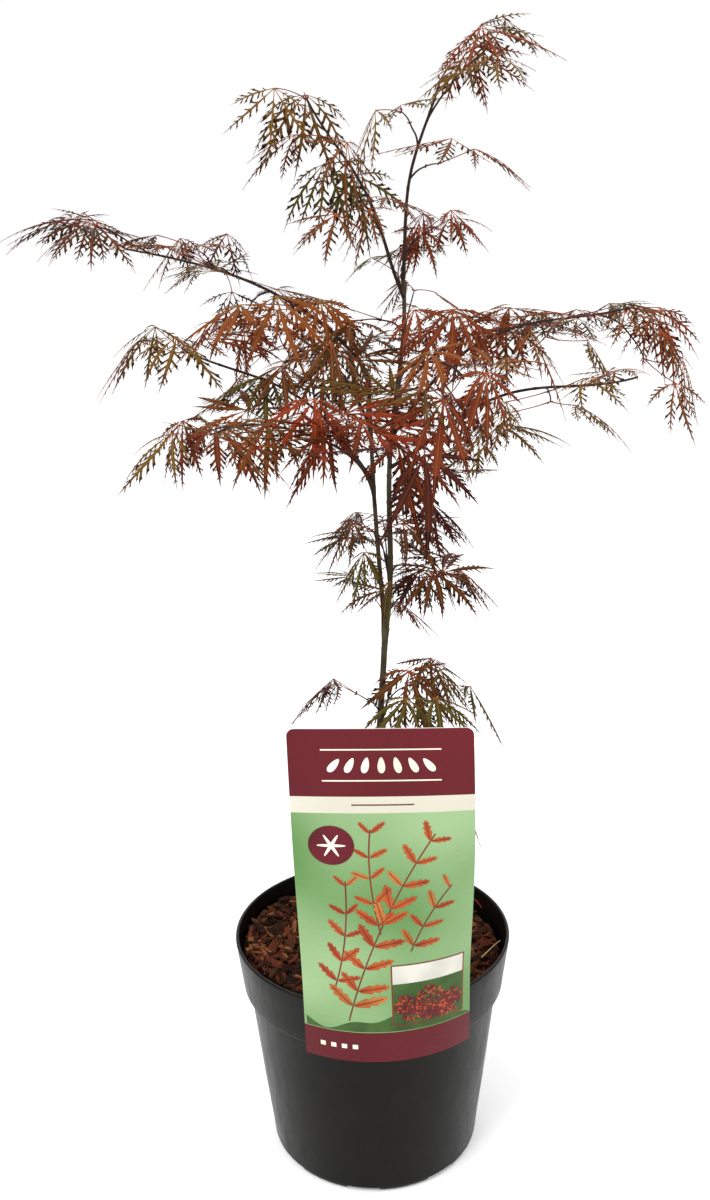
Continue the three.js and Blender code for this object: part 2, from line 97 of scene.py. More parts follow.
# limb, share, toward, out, down, half, wide, high, tilt, hang, seed
MASSES = {
    "crown_top_right": ["leader_right", 1, 3, 38.5, -2.9, 42, 36, 25, 10, 16, 11],
    "crown_top_small": ["leader_right", 0.68, 161, 16.1, -8.8, 23, 24, 12, 4, 12, 12],
    "crown_right_high": ["leader_right", 0.48, -16, 35.1, -2.4, 30, 30, 14, -6, 15, 13],
    "crown_right_shoulder": ["leader_right", 0.22, 4, 33.7, 11.2, 34, 34, 17, -12, 17, 14],
    "crown_top_left": ["leader_left", 1, 177, 35.2, 26.8, 33, 32, 23, 12, 20, 15],
    "crown_left_high": ["leader_left", 0.84, -119, 8.2, 16.1, 25, 30, 20, -4, 23, 16],
    "crown_left_shoulder": ["leader_left", 0.42, -151, 28, 15, 32, 36, 23, 8, 23, 17],
    "far_left_tip": ["bough_left_upper", 0.98, 179, 35.6, -0.7, 48, 30, 18, 12, 15, 18],
    "far_left_inner": ["bough_left_upper", 0.7, -127, 5.1, 2.9, 41, 32, 15, -8, 11, 19],
    "left_arch": ["bough_left_upper", 0.34, -140, 19.1, 14.2, 46, 44, 19, 4, 17, 20],
    "left_outer": ["bough_left_mid", 0.96, -177, 30.8, 7, 44, 36, 19, 10, 16, 21],
    "left_heart": ["bough_left_mid", 0.6, -34, 8.9, 8.9, 48, 36, 17, 6, 15, 22],
    "left_low_tip": ["bough_left_front", 0.98, 173, 16.3, 23.7, 40, 36, 24, 16, 27, 23],
    "left_low_front": ["bough_left_front", 0.7, -56, 20.7, 23.8, 48, 36, 26, 6, 29, 24],
    "centre_high": ["stem_main", 0.86, -118, 25.1, 3.7, 27, 34, 16, 0, 14, 25],
    "front_centre": ["bough_front", 0.86, -36, 13.1, 31.7, 41, 38, 22, -8, 25, 26],
    "right_inner": ["bough_right_upper", 0.36, -40, 9.4, -3.7, 37, 40, 19, 4, 16, 27],
    "right_outer": ["bough_right_upper", 0.8, 11, 2.7, 13.3, 40, 36, 18, -2, 16, 28],
    "right_tip": ["bough_right_upper", 1, -12, 21.5, 46, 33, 30, 34, -28, 39, 29],
    "right_low_outer": ["bough_right_mid", 0.86, -155, 16.7, 19.6, 39, 32, 16, -10, 16, 30],
    "right_low": ["bough_right_mid", 0.46, -158, 19.2, 24.5, 37, 36, 18, 4, 18, 31],
    "under_right": ["stem_main", 0.36, -36, 33.6, 2, 25, 34, 27, -10, 27, 32],
    "under_left": ["stem_left", 0.42, -127, 27.7, 11.1, 24, 34, 20, 8, 20, 33],
    "low_right": ["stem_main", 0.18, -19, 41.5, 20.9, 29, 32, 19, -8, 19, 34],
    "low_left": ["trunk", 0.98, -139, 28.3, -24.6, 32, 30, 21, 6, 18, 35],
    "foot_right": ["low_shoot", 1, -28, 37.8, 15.5, 35, 34, 23, -8, 23, 36],
    "foot_left": ["low_shoot", 0.6, -159, 32.9, -5.4, 24, 26, 14, 6, 14, 37],
    "foot_behind": ["low_shoot_back", 1, 23, 15.7, 14.2, 28, 32, 34, -4, 30, 38],
    "back_left": ["bough_back_left", 0.86, 29, 15, 34.9, 45, 44, 31, 6, 31, 39],
    "back_right": ["bough_back_right", 0.86, 107, 9.6, 20.7, 38, 44, 26, -4, 26, 40],
    "back_centre": ["bough_back", 0.86, 177, 0.4, 13.7, 36, 42, 29, 0, 29, 41],
    "back_high": ["stem_main", 0.9, 90, 51.7, -10, 33, 34, 20, 0, 18, 42],
    "back_low": ["stem_main", 0.3, 80, 55.2, 24.6, 34, 34, 30, 0, 30, 43],
}
# leaf size, spread, lift, sag, slope, twigs with two pairs, stalk length, blade width;
# then a list for each twig, its seed and its leaves' seeds, and the tints its sprays are dealt
SPRAYS = {
    "crown_top_right": ((62, 1.2, 1.6, 0.6, 1.0, 2, 1.1, 0.468), [[332, 50327, 143244], [1054, 50056, 51083, 52011, 53007]],
        ["brick", "bronze", "brown", "brown"]),
    "crown_top_small": ((46.0, 1.0, 0.8, 1, 1, 2, 0.8, 0.552), [[0, 994996, 51014]],
        ["bronze", "brown"]),
    "crown_right_high": ((50, 0.9, 0.6, 1, 0.9, 2, 1, 0.65), [[12, 50069, 51029]],
        ["brown", "olive", "brick"]),
    "crown_right_shoulder": ((50, 1, 0.6, 1.1, 1.1, 2, 0.9, 0.8), [[86, 50025, 51038, 52002, 53054]],
        ["brick", "olive", "brown"]),
    "crown_top_left": ((57.0, 1.1, 1.2, 1.0, 1.0, 2, 1.1, 0.44), [[28, 50216, 51251]],
        ["bronze", "olive", "brown"]),
    "crown_left_high": ((50.0, 1.1, 0.9, 1.1, 1.1, 2, 1.0, 0.56), [[35, 50117, 51065], [1190, 220216, 51001]],
        ["olive", "brown", "bronze", "brick"]),
    "crown_left_shoulder": ((54.0, 1, 0.6, 1.1, 1.1, 2, 1, 0.68), [[96, 50033, 51045, 52039]],
        ["brown", "olive", "maroon"]),
    "far_left_tip": ((60, 1, 0.8, 1, 0.8, 2, 1.1, 0.552), [[155, 50389, 51191], [1334, 50260, 51014, 52107, 53148]],
        ["brown", "dusk", "olive"]),
    "far_left_inner": ((46.0, 1, 0.8, 1, 0.9, 2, 1, 0.585), [[83, 50007, 51042], [1055, 50063, 51000], [2054, 50087, 51008], [3004, 50064, 51060], [4076, 610584, 51033]],
        ["dusk", "brown", "bronze"]),
    "left_arch": ((53, 1, 0.6, 1, 1, 2, 1, 1.05), [[13, 50076, 51080, 52059, 53073], [1014, 50022, 51025]],
        ["orange", "brick", "olive", "bronze"]),
    "left_outer": ((56.0, 1, 0.7, 1, 0.9, 2, 1, 0.722), [[342, 50253, 51125], [1359, 50068, 51211]],
        ["bronze", "brick", "brown"]),
    "left_heart": ((53, 1, 0.5, 1.1, 1.1, 2, 1, 1.08), [[0, 50087, 51000, 52022, 53044], [1042, 50006, 51033], [2056, 50073, 51078]],
        ["brown", "bronze", "olive", "brick", "orange"]),
    "left_low_tip": ((56.0, 1, 0.6, 1.1, 1.1, 2, 1, 0.855), [[104, 292606, 51073], [1011, 50016, 51101], [2367, 50087, 51038]],
        ["bronze", "brick", "brown", "brick"]),
    "left_low_front": ((57, 1, 0.5, 1.1, 1.2, 2, 1, 1.15), [[59, 50087, 51000], [1173, 50188, 51021, 52007, 53099], [2100, 50179, 595917], [3067, 50187, 887328, 52163, 53123]],
        ["scarlet", "brick", "orange", "scarlet", "brick"]),
    "centre_high": ((52.0, 1, 0.5, 1.1, 1.2, 2, 0.9, 1.0), [[93, 50060, 51003, 52090]],
        ["brown", "olive", "brick"]),
    "front_centre": ((51, 1, 0.6, 1.1, 1.1, 2, 1, 1.05), [[21, 50016, 51065], [1100, 50054, 51161], [2170, 50015, 51186, 52121], [3069, 50180, 51191]],
        ["brick", "bronze", "maroon", "orange", "brown"]),
    "right_inner": ((50, 1, 0.6, 1, 1, 2, 1, 1.05), [[98, 50119, 51082, 52036, 53094], [1142, 50190, 324831]],
        ["brick", "orange", "olive", "brown"]),
    "right_outer": ((52.0, 1, 0.7, 1, 0.9, 2, 1, 0.6), [[57, 50005, 426026, 52035, 53088], [1036, 50003, 51071], [2062, 50029, 51054], [3089, 50091, 51072], [4064, 50082, 51093]],
        ["olive", "brown", "bronze", "brick"]),
    "right_tip": ((50, 1, 0.9, 1.1, 1.0, 2, 1.1, 0.65), [[198, 50001, 742460], [1023, 50151, 874414, 52108, 53162]],
        ["brick", "brown", "bronze", "olive"]),
    "right_low_outer": ((50.0, 1, 0.7, 1.1, 1.1, 2, 1, 0.6), [[73, 50002, 51054, 52069, 53044], [1004, 50059, 689424]],
        ["bronze", "brown", "olive"]),
    "right_low": ((54.0, 1, 0.6, 1.1, 1.1, 2, 1, 1.0), [[29, 50037, 51027]],
        ["bronze", "olive", "brick", "brown"]),
    "under_right": ((50, 1, 0.5, 1.1, 1.2, 2, 0.9, 1.05), [[131, 50371, 51178], [1367, 50158, 51316]],
        ["maroon", "brown", "olive"]),
    "under_left": ((48, 1, 0.6, 1.1, 1.2, 2, 0.9, 1.0), [[341, 50072, 51121], [1201, 50398, 51141]],
        ["brown", "maroon", "olive"]),
    "low_right": ((50, 1, 0.5, 1.1, 1.1, 2, 0.9, 1.1), [[105, 50087, 51132, 416722], [1157, 50059, 50998, 52059, 53160]],
        ["brown", "maroon", "brick", "bronze"]),
    "low_left": ((50, 1, 0.5, 1.1, 1.1, 2, 0.9, 1.05), [[265, 50138, 51132], [1082, 50369, 51205, 52010, 178470]],
        ["brown", "olive", "brick"]),
    "foot_right": ((54.0, 1, 0.7, 1, 1, 2, 0.9, 1.08), [[8, 50062, 51065], [1055, 50095, 51087, 52004, 53051]],
        ["brown", "olive", "maroon"]),
    "foot_left": ((48.0, 1, 0.6, 1, 1, 2, 0.9, 0.85), [[60, 50084, 51057]],
        ["dusk", "olive"]),
    "foot_behind": ((50.0, 1, 0.6, 1, 1.1, 2, 0.9, 1.0), [[61, 50082, 51061], [1065, 50019, 51049]],
        ["brown", "olive", "brick"]),
    "back_left": ((54.0, 1, 0.7, 1.1, 1, 2, 1, 0.95), [[57, 50065, 51013], [1060, 50037, 51013], [2053, 50019, 51089], [3037, 50065, 51085]],
        ["brick", "brown", "olive", "orange"]),
    "back_right": ((54.0, 1, 0.7, 1.1, 1, 2, 1, 0.95), [[21, 50054, 51089], [1075, 50063, 51019], [2054, 50065, 51013], [3023, 26431, 51062]],
        ["brown", "brick", "bronze", "maroon"]),
    "back_centre": ((54.0, 1, 0.7, 1.1, 1, 2, 1, 0.95), [[19, 50008, 51056], [1071, 50082, 51082], [2051, 50085, 51082], [3095, 698369, 51070]],
        ["brick", "olive", "brown", "scarlet"]),
    "back_high": ((50.0, 1, 0.6, 1.1, 1, 2, 1, 0.95), [[56, 950435, 51088, 51994], [1025, 50052, 51033, 52027]],
        ["brown", "olive"]),
    "back_low": ((52.0, 1, 0.6, 1.1, 1.1, 2, 1, 0.95), [[36, 50028, 51013, 399801, 53037], [1043, 50028, 51088, 52061, 53056], [2086, 50052, 51088]],
        ["maroon", "brown", "olive"]),
}
SOIL_Z, FOOT_X, GAP = 145.0, 1.8, 0.32
STEPS = 48
paths = {}


def limb_path(name):
    if name in paths:
        return paths[name]
    src, share, head, rise, length, turn, droop, ease, sway, bob = LIMBS[name][:10]
    p = vec(FOOT_X, 0, SOIL_Z + GAP) if src is None else point_on(src, share)
    out = [p]
    for i in range(STEPS):
        t = (i + .5) / STEPS
        a = math.radians(head + turn * t + sway * math.sin(2 * math.pi * t))
        e = math.radians(rise + droop * t ** ease + bob * math.sin(2 * math.pi * t))
        p = p + vec(math.cos(e) * math.cos(a), math.cos(e) * math.sin(a), math.sin(e)) * (length / STEPS)
        out.append(p)
    paths[name] = np.array(out)
    return paths[name]


def point_on(name, share):
    q = limb_path(name)
    f = min(max(share, 0), 1) * (len(q) - 1)
    i = min(int(f), len(q) - 2)
    return q[i] + (q[i + 1] - q[i]) * (f - i)


def way_on(name, share):
    return unit(point_on(name, min(1, share + .02)) - point_on(name, max(0, share - .02)))


# ------------------------------------------------------------------ materials
def rgb(r, g, b):
    """A display colour, 0 to 255, as a linear one."""
    out = []
    for c in (r, g, b):
        c /= 255.0
        out.append(c / 12.92 if c <= 0.04045 else ((c + 0.055) / 1.055) ** 2.4)
    return (*out, 1.0)


class Mat:
    """A node material: a principled shader and the few nodes a surface needs."""

    def __init__(self, name, color, rough, **more):
        self.m = bpy.data.materials.new(name)
        self.m.use_nodes = True
        self.t = self.m.node_tree
        self.t.nodes.clear()
        self.out = self.t.nodes.new("ShaderNodeOutputMaterial")
        self.s = self.t.nodes.new("ShaderNodeBsdfPrincipled")
        self.t.links.new(self.s.outputs["BSDF"], self.out.inputs["Surface"])
        self.s.inputs["Base Color"].default_value = color
        self.s.inputs["Roughness"].default_value = rough
        for k, v in more.items():
            self.s.inputs[k.replace("_", " ")].default_value = v
        self.m.diffuse_color = color
        self.co = None
        self.height = None

    def node(self, kind, **inputs):
        n = self.t.nodes.new(kind)
        for k, v in inputs.items():
            n.inputs[k.replace("_", " ")].default_value = v
        return n

    def link(self, a, b):
        self.t.links.new(a, b)

    def coords(self, scale=(1, 1, 1)):
        if self.co is None:
            self.co = self.t.nodes.new("ShaderNodeTexCoord")
        m = self.t.nodes.new("ShaderNodeMapping")
        m.inputs["Scale"].default_value = scale
        self.link(self.co.outputs["Object"], m.inputs["Vector"])
        return m.outputs["Vector"]

    def noise(self, scale, detail=4.0, rough=0.55, stretch=(1, 1, 1), distort=0.0):
        n = self.node("ShaderNodeTexNoise", Scale=scale, Detail=detail, Roughness=rough, Distortion=distort)
        self.link(self.coords(stretch), n.inputs["Vector"])
        return n.outputs["Fac"]

    def cells(self, scale, stretch=(1, 1, 1), feature="F1"):
        n = self.node("ShaderNodeTexVoronoi", Scale=scale)
        n.feature = feature
        self.link(self.coords(stretch), n.inputs["Vector"])
        return n.outputs["Distance"]

    def ramp(self, fac, stops):
        n = self.t.nodes.new("ShaderNodeValToRGB")
        r = n.color_ramp
        while len(r.elements) < len(stops):
            r.elements.new(0.5)
        for e, (p, c) in zip(r.elements, stops):
            e.position = p
            e.color = c
        self.link(fac, n.inputs["Fac"])
        return n.outputs["Color"]

    def mixed(self, fac, a, b, kind="MIX"):
        n = self.t.nodes.new("ShaderNodeMix")
        n.data_type = "RGBA"
        n.blend_type = kind
        for sock, v in ((n.inputs[0], fac), (n.inputs[6], a), (n.inputs[7], b)):
            if isinstance(v, (tuple, float, int)):
                sock.default_value = v
            else:
                self.link(v, sock)
        return n.outputs[2]

    def span(self, fac, lo, hi, a=0.0, b=1.0):
        n = self.node("ShaderNodeMapRange")
        n.inputs["From Min"].default_value = lo
        n.inputs["From Max"].default_value = hi
        n.inputs["To Min"].default_value = a
        n.inputs["To Max"].default_value = b
        self.link(fac, n.inputs["Value"])
        return n.outputs["Result"]

    def math(self, op, a, b):
        n = self.t.nodes.new("ShaderNodeMath")
        n.operation = op
        for sock, v in ((n.inputs[0], a), (n.inputs[1], b)):
            if isinstance(v, (float, int)):
                sock.default_value = v
            else:
                self.link(v, sock)
        return n.outputs[0]

    def color(self, sock):
        self.link(sock, self.s.inputs["Base Color"])

    def rough(self, sock):
        self.link(sock, self.s.inputs["Roughness"])

    def bump(self, sock, strength, distance):
        n = self.node("ShaderNodeBump", Strength=strength, Distance=distance)
        self.link(sock, n.inputs["Height"])
        if self.height is not None:
            self.link(self.height, n.inputs["Normal"])
        self.height = n.outputs["Normal"]
        self.link(self.height, self.s.inputs["Normal"])


def pot_plastic():
    m = Mat("pot_plastic", rgb(10, 8, 6), 0.40)
    m.s.inputs["Specular IOR Level"].default_value = .13
    n = m.noise(55, 5, 0.6)
    m.color(m.ramp(n, [(0.30, rgb(7, 5, 4)), (0.55, rgb(10, 8, 6)), (0.80, rgb(18, 15, 12))]))
    fine = m.noise(900, 3, 0.6)
    scuff = m.noise(140, 6, 0.7, (1, 1, .25))
    m.rough(m.math("ADD", m.span(scuff, .35, .7, .27, .42), m.span(fine, .3, .7, -.03, .04)))
    m.bump(fine, .10, .00025)
    m.bump(m.noise(60, 2, .5, (1, 1, .6)), .06, .0012)
    return m.m


def bark_mulch(name, dark, mid, pale):
    m = Mat(name, mid, 0.85)
    m.s.inputs["Specular IOR Level"].default_value = .08
    grain = m.noise(420, 5, .7, (1, 1, 1), .8)
    patch = m.noise(70, 3, .6)
    c = m.ramp(grain, [(0.28, dark), (0.52, mid), (0.80, pale)])
    m.color(m.mixed(m.span(patch, .35, .7, 0, .55), c, dark))
    m.rough(m.span(grain, .3, .7, .72, .95))
    m.bump(grain, .55, .0006)
    m.bump(m.noise(1500, 3, .6), .3, .0002)
    return m.m


def bark(name, base, pale, dark, rough):
    m = Mat(name, base, rough)
    m.s.inputs["Specular IOR Level"].default_value = .14
    streak = m.noise(260, 5, .65, (1, 1, .12), .4)
    blotch = m.noise(45, 4, .6, (1, 1, .5))
    c = m.ramp(streak, [(.30, dark), (.50, base), (.68, base), (.84, pale)])
    m.color(m.mixed(m.span(blotch, .4, .72, 0, .6), c, pale))
    m.rough(m.span(streak, .3, .7, rough - .1, rough + .08))
    m.bump(streak, .35, .0005)
    m.bump(m.noise(900, 4, .65), .25, .0002)
    return m.m


def leaf(name, color, rough=.6):
    m = Mat(name, color, rough)
    m.s.inputs["Specular IOR Level"].default_value = .06
    return m.m


def tag_print(name, a, b, scale=14.0, rough=.24, lo=.38, hi=.66):
    m = Mat(name, a, rough)
    m.s.inputs["Specular IOR Level"].default_value = .12
    m.s.inputs["Coat Weight"].default_value = .05
    m.s.inputs["Coat Roughness"].default_value = .12
    n = m.noise(scale, 1.5, .4)
    m.color(m.ramp(n, [(lo, a), (hi, b)]))
    m.rough(m.span(m.noise(300, 3, .5), .3, .7, rough - .03, rough + .06))
    m.bump(m.noise(35, 2, .5), .05, .001)
    return m.m


# ------------------------------------------------------------------ meshes
def make(name, verts, faces, mats, index=None, smooth=True):
    """verts in millimetres."""
    me = bpy.data.meshes.new(name)
    me.from_pydata((np.asarray(verts, float) * MM).tolist(), [], faces)
    for m in mats:
        me.materials.append(m)
    if index is not None:
        me.polygons.foreach_set("material_index", np.asarray(index, np.int32))
    me.polygons.foreach_set("use_smooth", np.full(len(me.polygons), smooth))
    me.validate(clean_customdata=False)
    me.update()
    o = bpy.data.objects.new(name, me)
    bpy.context.scene.collection.objects.link(o)
    return o


class Heap:
    """Many small pieces of one kind, joined."""

    def __init__(self):
        self.v, self.f, self.i, self.n = [], [], [], 0

    def add(self, verts, faces, index=None):
        self.v.append(np.asarray(verts, float))
        self.f.extend([tuple(i + self.n for i in q) for q in faces])
        self.i.extend(index if index is not None else [0] * len(faces))
        self.n += len(verts)

    def make(self, name, mats, smooth=True):
        return make(name, np.vstack(self.v), self.f, mats, self.i, smooth)


def smoothstep(x, a, b):
    t = min(max((x - a) / (b - a), 0), 1)
    return t * t * (3 - 2 * t)


def rings(path, radii, sides, relief=None, close=True):
    """Tube round a path; radii per point; relief(t, angles) is added to the radius."""
    path = np.asarray(path, float)
    n = len(path)
    tan = np.gradient(path, axis=0)
    tan /= np.linalg.norm(tan, axis=1)[:, None]
    side = unit(np.cross(tan[0], vec(0, 1, 0.13)))
    ang = np.linspace(0, 2 * math.pi, sides, endpoint=False)
    verts = []
    for i in range(n):
        side = unit(side - tan[i] * float(side @ tan[i]))
        other = np.cross(tan[i], side)
        r = np.full(sides, radii[i])
        if relief is not None:
            r = r + relief(i / (n - 1), ang)
        verts.append(path[i] + (side[None] * np.cos(ang)[:, None] + other[None] * np.sin(ang)[:, None]) * r[:, None])
    verts = np.vstack(verts)
    faces = []
    for i in range(n - 1):
        for j in range(sides):
            k = (j + 1) % sides
            faces.append((i * sides + j, i * sides + k, (i + 1) * sides + k, (i + 1) * sides + j))
    if close:
        m = len(verts)
        verts = np.vstack([verts, path[0], path[-1] + tan[-1] * radii[-1] * .6])
        for j in range(sides):
            k = (j + 1) % sides
            faces.append((m, k, j))
            faces.append((m + 1, (n - 1) * sides + j, (n - 1) * sides + k))
    return verts, faces


# ------------------------------------------------------------------ one lobe of a leaf
S_ = np.array([0, .10, .20, .30, .40, .50, .60, .70, .80, .90, 1.0])
W_ = np.interp(S_, [0, .10, .22, .35, .5, .65, .8, .92, 1], [.26, .32, .78, 1.0, 1.0, .8, .5, .22, .06])
# where the teeth of a lobe stand, how long they are and how far they spread: six a side on fine leaves, eight on broad ones
TEETH = {6: (np.array([.20, .325, .455, .58, .70, .81]), np.array([.52, .92, 1.0, .86, .62, .40]),
             np.radians(np.array([46, 42, 38, 34, 30, 26]))),
         8: (np.array([.16, .255, .35, .445, .54, .63, .72, .82]), np.array([.42, .74, .96, 1.0, .92, .76, .56, .38]),
             np.radians(np.array([46, 43, 40, 37, 34, 31, 28, 26])))}
def lobe(rs, base, d0, lat0, length, sag, curl, wide, tooth, fold, bold):
    """Spine, edges and teeth of one lobe. Everything in mm, in the world's directions."""
    n = len(S_)
    t = S_[:, None]
    way = d0 * np.cos(curl * t) + lat0 * np.sin(curl * t) - UP * (sag * t ** 1.25)
    way /= np.linalg.norm(way, axis=1)[:, None]
    mid = (way[1:] + way[:-1]) / 2
    spine = np.vstack([base, base + np.cumsum(mid * (np.diff(S_) * length)[:, None], axis=0)])
    lat = lat0 - (way @ lat0)[:, None] * way
    lat /= np.linalg.norm(lat, axis=1)[:, None]
    nor = np.cross(way, lat)
    nor *= np.where(nor[:, 2:3] < -0.2, 1, 1)
    w = (W_ * wide)[:, None]
    left = spine + lat * w - nor * (w * fold)
    right = spine - lat * w - nor * (w * fold)
    # teeth, all at once
    k = 6 if bold < .82 else 8
    TS, TL, TA = TEETH[k]
    out = []
    for sgn in (1, -1):
        ts = TS + rs.uniform(-.025, .025, k) + (.02 if sgn > 0 else 0)
        tl = tooth * TL * rs.uniform(.65, 1.25, k)
        half = (0.036 if k == 6 else 0.033) * length * (0.4 + 0.6 * TL) * (.7 + .3 * bold)
        c = np.stack([np.interp(ts, S_, spine[:, j]) for j in range(3)], 1)
        wy = np.stack([np.interp(ts, S_, way[:, j]) for j in range(3)], 1)
        la = np.stack([np.interp(ts, S_, lat[:, j]) for j in range(3)], 1) * sgn
        no = np.stack([np.interp(ts, S_, nor[:, j]) for j in range(3)], 1)
        ww = np.interp(ts, S_, W_ * wide)[:, None]
        ang = TA * rs.uniform(.85, 1.2, k) * (1.22 - .34 * bold)
        dirn = wy * np.cos(ang)[:, None] + la * np.sin(ang)[:, None] - no * (0.25 * np.sin(ang))[:, None] - UP * .06
        edge = c + la * ww * .85 - no * (ww * fold)
        b0 = edge - wy * half[:, None] * .9 - la * ww * .2
        b1 = edge + wy * half[:, None] * .7 - la * ww * .2
        tip = edge + dirn * tl[:, None]
        m0 = edge + dirn * (tl * .42)[:, None] + la * (0.07 * tl)[:, None] - wy * (0.085 * tl)[:, None]
        m1 = edge + dirn * (tl * .50)[:, None] - la * (0.05 * tl)[:, None] + wy * (0.085 * tl)[:, None]
        spur = m0 + (dirn * .55 + la * .35) * (tl * .26)[:, None]
        out.append((b0, m0, spur, tip, m1, b1))
    return spine, left, right, nor, lat, out

ANGLES = {5: [0, 36, -36, 76, -76], 7: [0, 30, -30, 62, -62, 98, -98],
          9: [0, 27, -27, 54, -54, 84, -84, 124, -124]}
REACH = {0: 1.0, 27: .97, 30: .96, 36: .92, 54: .86, 62: .82, 76: .68, 84: .66, 98: .56, 124: .36}
def leaf_lobes(seed, base, head, slope, length, lobes, sag, cone, bold):
    """Directions and sizes of a leaf's lobes; head in radians, slope the fall of its middle lobe."""
    rs = np.random.RandomState(seed & 0x7fffffff)
    ch, sh = math.cos(head), math.sin(head)
    cs, ss = math.cos(slope), math.sin(slope)
    fwd = vec(ch * cs, sh * cs, -ss)
    side = vec(-sh, ch, 0)
    nor = np.cross(fwd, side)
    roll = rs.uniform(-.45, .45)
    side = side * math.cos(roll) + nor * math.sin(roll)
    nor = np.cross(fwd, side)
    out = []
    for a in ANGLES[lobes]:
        th = math.radians(a + rs.uniform(-10, 10))
        d = fwd * math.cos(th) + side * math.sin(th)
        d = unit(d - nor * cone)
        lat = unit(np.cross(nor, d))
        L = length * REACH[abs(a)] * rs.uniform(.78, 1.10)
        curl = rs.uniform(-.5, .5) - .20 * math.sin(th)
        out.append(lobe(rs, base, d, lat, L, sag * rs.uniform(.45, 1.6), curl, 0.0295 * L * bold * rs.uniform(.78, 1.2) + .12,
                        (0.165 if bold < .82 else .155) * L * rs.uniform(.75, 1.25), rs.uniform(.15, .45), bold))
    return out


def core(row, x, y, z):
    on, share, toward, out, down, half, wide, high, tilt, hang, seed = row
    c = point_on(on, share) + vec(out * math.cos(math.radians(toward)), out * math.sin(math.radians(toward)), -down)
    v = vec(half * x, wide * y, high * z - hang * (x * x * .75 + y * y * .45 - .4))
    a = math.radians(tilt)
    return c + vec(v[0] * math.cos(a) - v[2] * math.sin(a), v[1], v[0] * math.sin(a) + v[2] * math.cos(a))

def bezier(p0, p1, p2, n):
    t = np.linspace(0, 1, n + 1)[:, None]
    return (1 - t) ** 2 * p0 + 2 * t * (1 - t) * p1 + t ** 2 * p2

def twig(name, seed, style, tip=False, own=()):
    """One twig of a mass: its line (or None where the leaves sit on the limb itself) and its leaves."""
    row = MASSES[name]
    r = random.Random(seed * 7919 + sum(ord(ch) * (i + 1) for i, ch in enumerate(name)))
    on = row[0]
    size, spread, lift, sagm, slopem, pairs_most, petm, bold = style
    if tip:
        end = point_on(on, 1.0); start = end; way = way_on(on, 1.0)
    else:
        end = core(row, r.uniform(-.62, .62), r.uniform(-.62, .62), r.uniform(-.15, .7))
        q = limb_path(on)
        k = int(np.argmin(((q - end) ** 2).sum(1)))
        d = math.sqrt(((q[k] - end) ** 2).sum())
        per = LIMBS[on][4] / STEPS
        back = int(round(d * r.uniform(.35, .8) / per))
        k = max(2, k - back)
        start = q[k]; way = way_on(on, k / STEPS)
    gap = math.sqrt(((end - start) ** 2).sum())
    line = None
    nodes = []
    if tip or gap < 12:
        nodes.append((start, way, 1.0))
    else:
        aim = unit(unit(end - start) * .9 + way * .55 + UP * .30)
        mid = start + aim * gap * .5
        line = bezier(start, mid, end, 8)
        nodes.append((end, unit(line[-1] - line[-2]), 1.0))
        if gap > 26 and pairs_most > 1:
            nodes.append((line[5], unit(line[6] - line[4]), .85))
    leaves = []
    for i, (p, w, big) in enumerate(nodes):
        az = math.atan2(w[1], w[0])
        el = math.asin(max(-1, min(1, w[2])))
        for sgn in (1, -1):
            drop = i and r.random() < .2
            deal = r.getrandbits(20)
            if drop:
                continue
            j = len(leaves)
            g = random.Random(own[j] if j < len(own) else deal)
            div = math.radians(g.uniform(10, 68)) * spread * sgn + g.uniform(-.3, .3)
            rise = el * .4 + math.radians(g.uniform(-22, 46)) * lift
            plen = g.uniform(12, 31) * petm
            pd = vec(math.cos(rise) * math.cos(az + div), math.cos(rise) * math.sin(az + div), math.sin(rise))
            base = p + pd * plen + w * plen * .25 - UP * (plen * .06)
            head = az + div * 1.1 + g.uniform(-.6, .6)
            slope = math.radians(g.uniform(-22, 62)) * slopem
            length = size * big * g.uniform(.72, 1.12)
            leaves.append(dict(seed=g.getrandbits(24), node=p, nway=w, pway=pd, base=base, head=head, slope=slope,
                               length=length, lobes=g.choice((5, 5, 5, 7, 7)), sag=g.uniform(.05, .75) * sagm,
                               cone=g.uniform(-.04, .32), bold=bold * g.uniform(.82, 1.15)))
    return line, leaves


# ------------------------------------------------------------------ limbs with the bark's relief
BARK = bark("bark", rgb(53, 47, 36), rgb(112, 104, 82), rgb(34, 29, 23), .78)
STEM = bark("stem_bark", rgb(46, 38, 28), rgb(98, 86, 64), rgb(30, 23, 18), .72)
TWIG = bark("twig_bark", rgb(36, 23, 17), rgb(62, 43, 30), rgb(18, 12, 9), .6)
nodes = list(frame["nodes"])


def stretches(name):
    """The solids of one limb: the limb itself and its numbered stretches."""
    return [n for n in nodes if n == name or (n.startswith(name + "_") and n[len(name) + 1:].isdigit())]


def bark_relief(seed, depth, length, radius):
    """Low ridges along the limb, fine cross wrinkles, and the rings of old bud scars."""
    r = random.Random(seed)
    waves = [(r.randint(3, 6), r.uniform(-3, 3), r.uniform(0, 6.3), .45),
             (r.randint(6, 10), r.uniform(-6, 6), r.uniform(0, 6.3), .30),
             (r.randint(2, 4), r.uniform(8, 16), r.uniform(0, 6.3), .25)]
    scars = []
    t = r.uniform(.03, .08)
    while t < .97:
        scars.append((t, r.uniform(0, math.pi)))
        t += r.uniform(14, 26) / length

    def f(t, ang):
        d = np.zeros(len(ang))
        for k, twist, ph, w in waves:
            d += w * np.sin(k * ang + twist * t * 6.28 + ph)
        d += .22 * math.sin(t * length * 2.1) * np.sin(ang * 2 + t * 9)
        d *= depth
        for s, a in scars:
            q = (t - s) * length
            if abs(q) < 4:
                d += radius * .20 * math.exp(-(q / .9) ** 2) * (.55 + .45 * np.cos(2 * (ang - a)))
                d -= radius * .06 * math.exp(-((q - 1.3) / .5) ** 2)
        return d
    return f


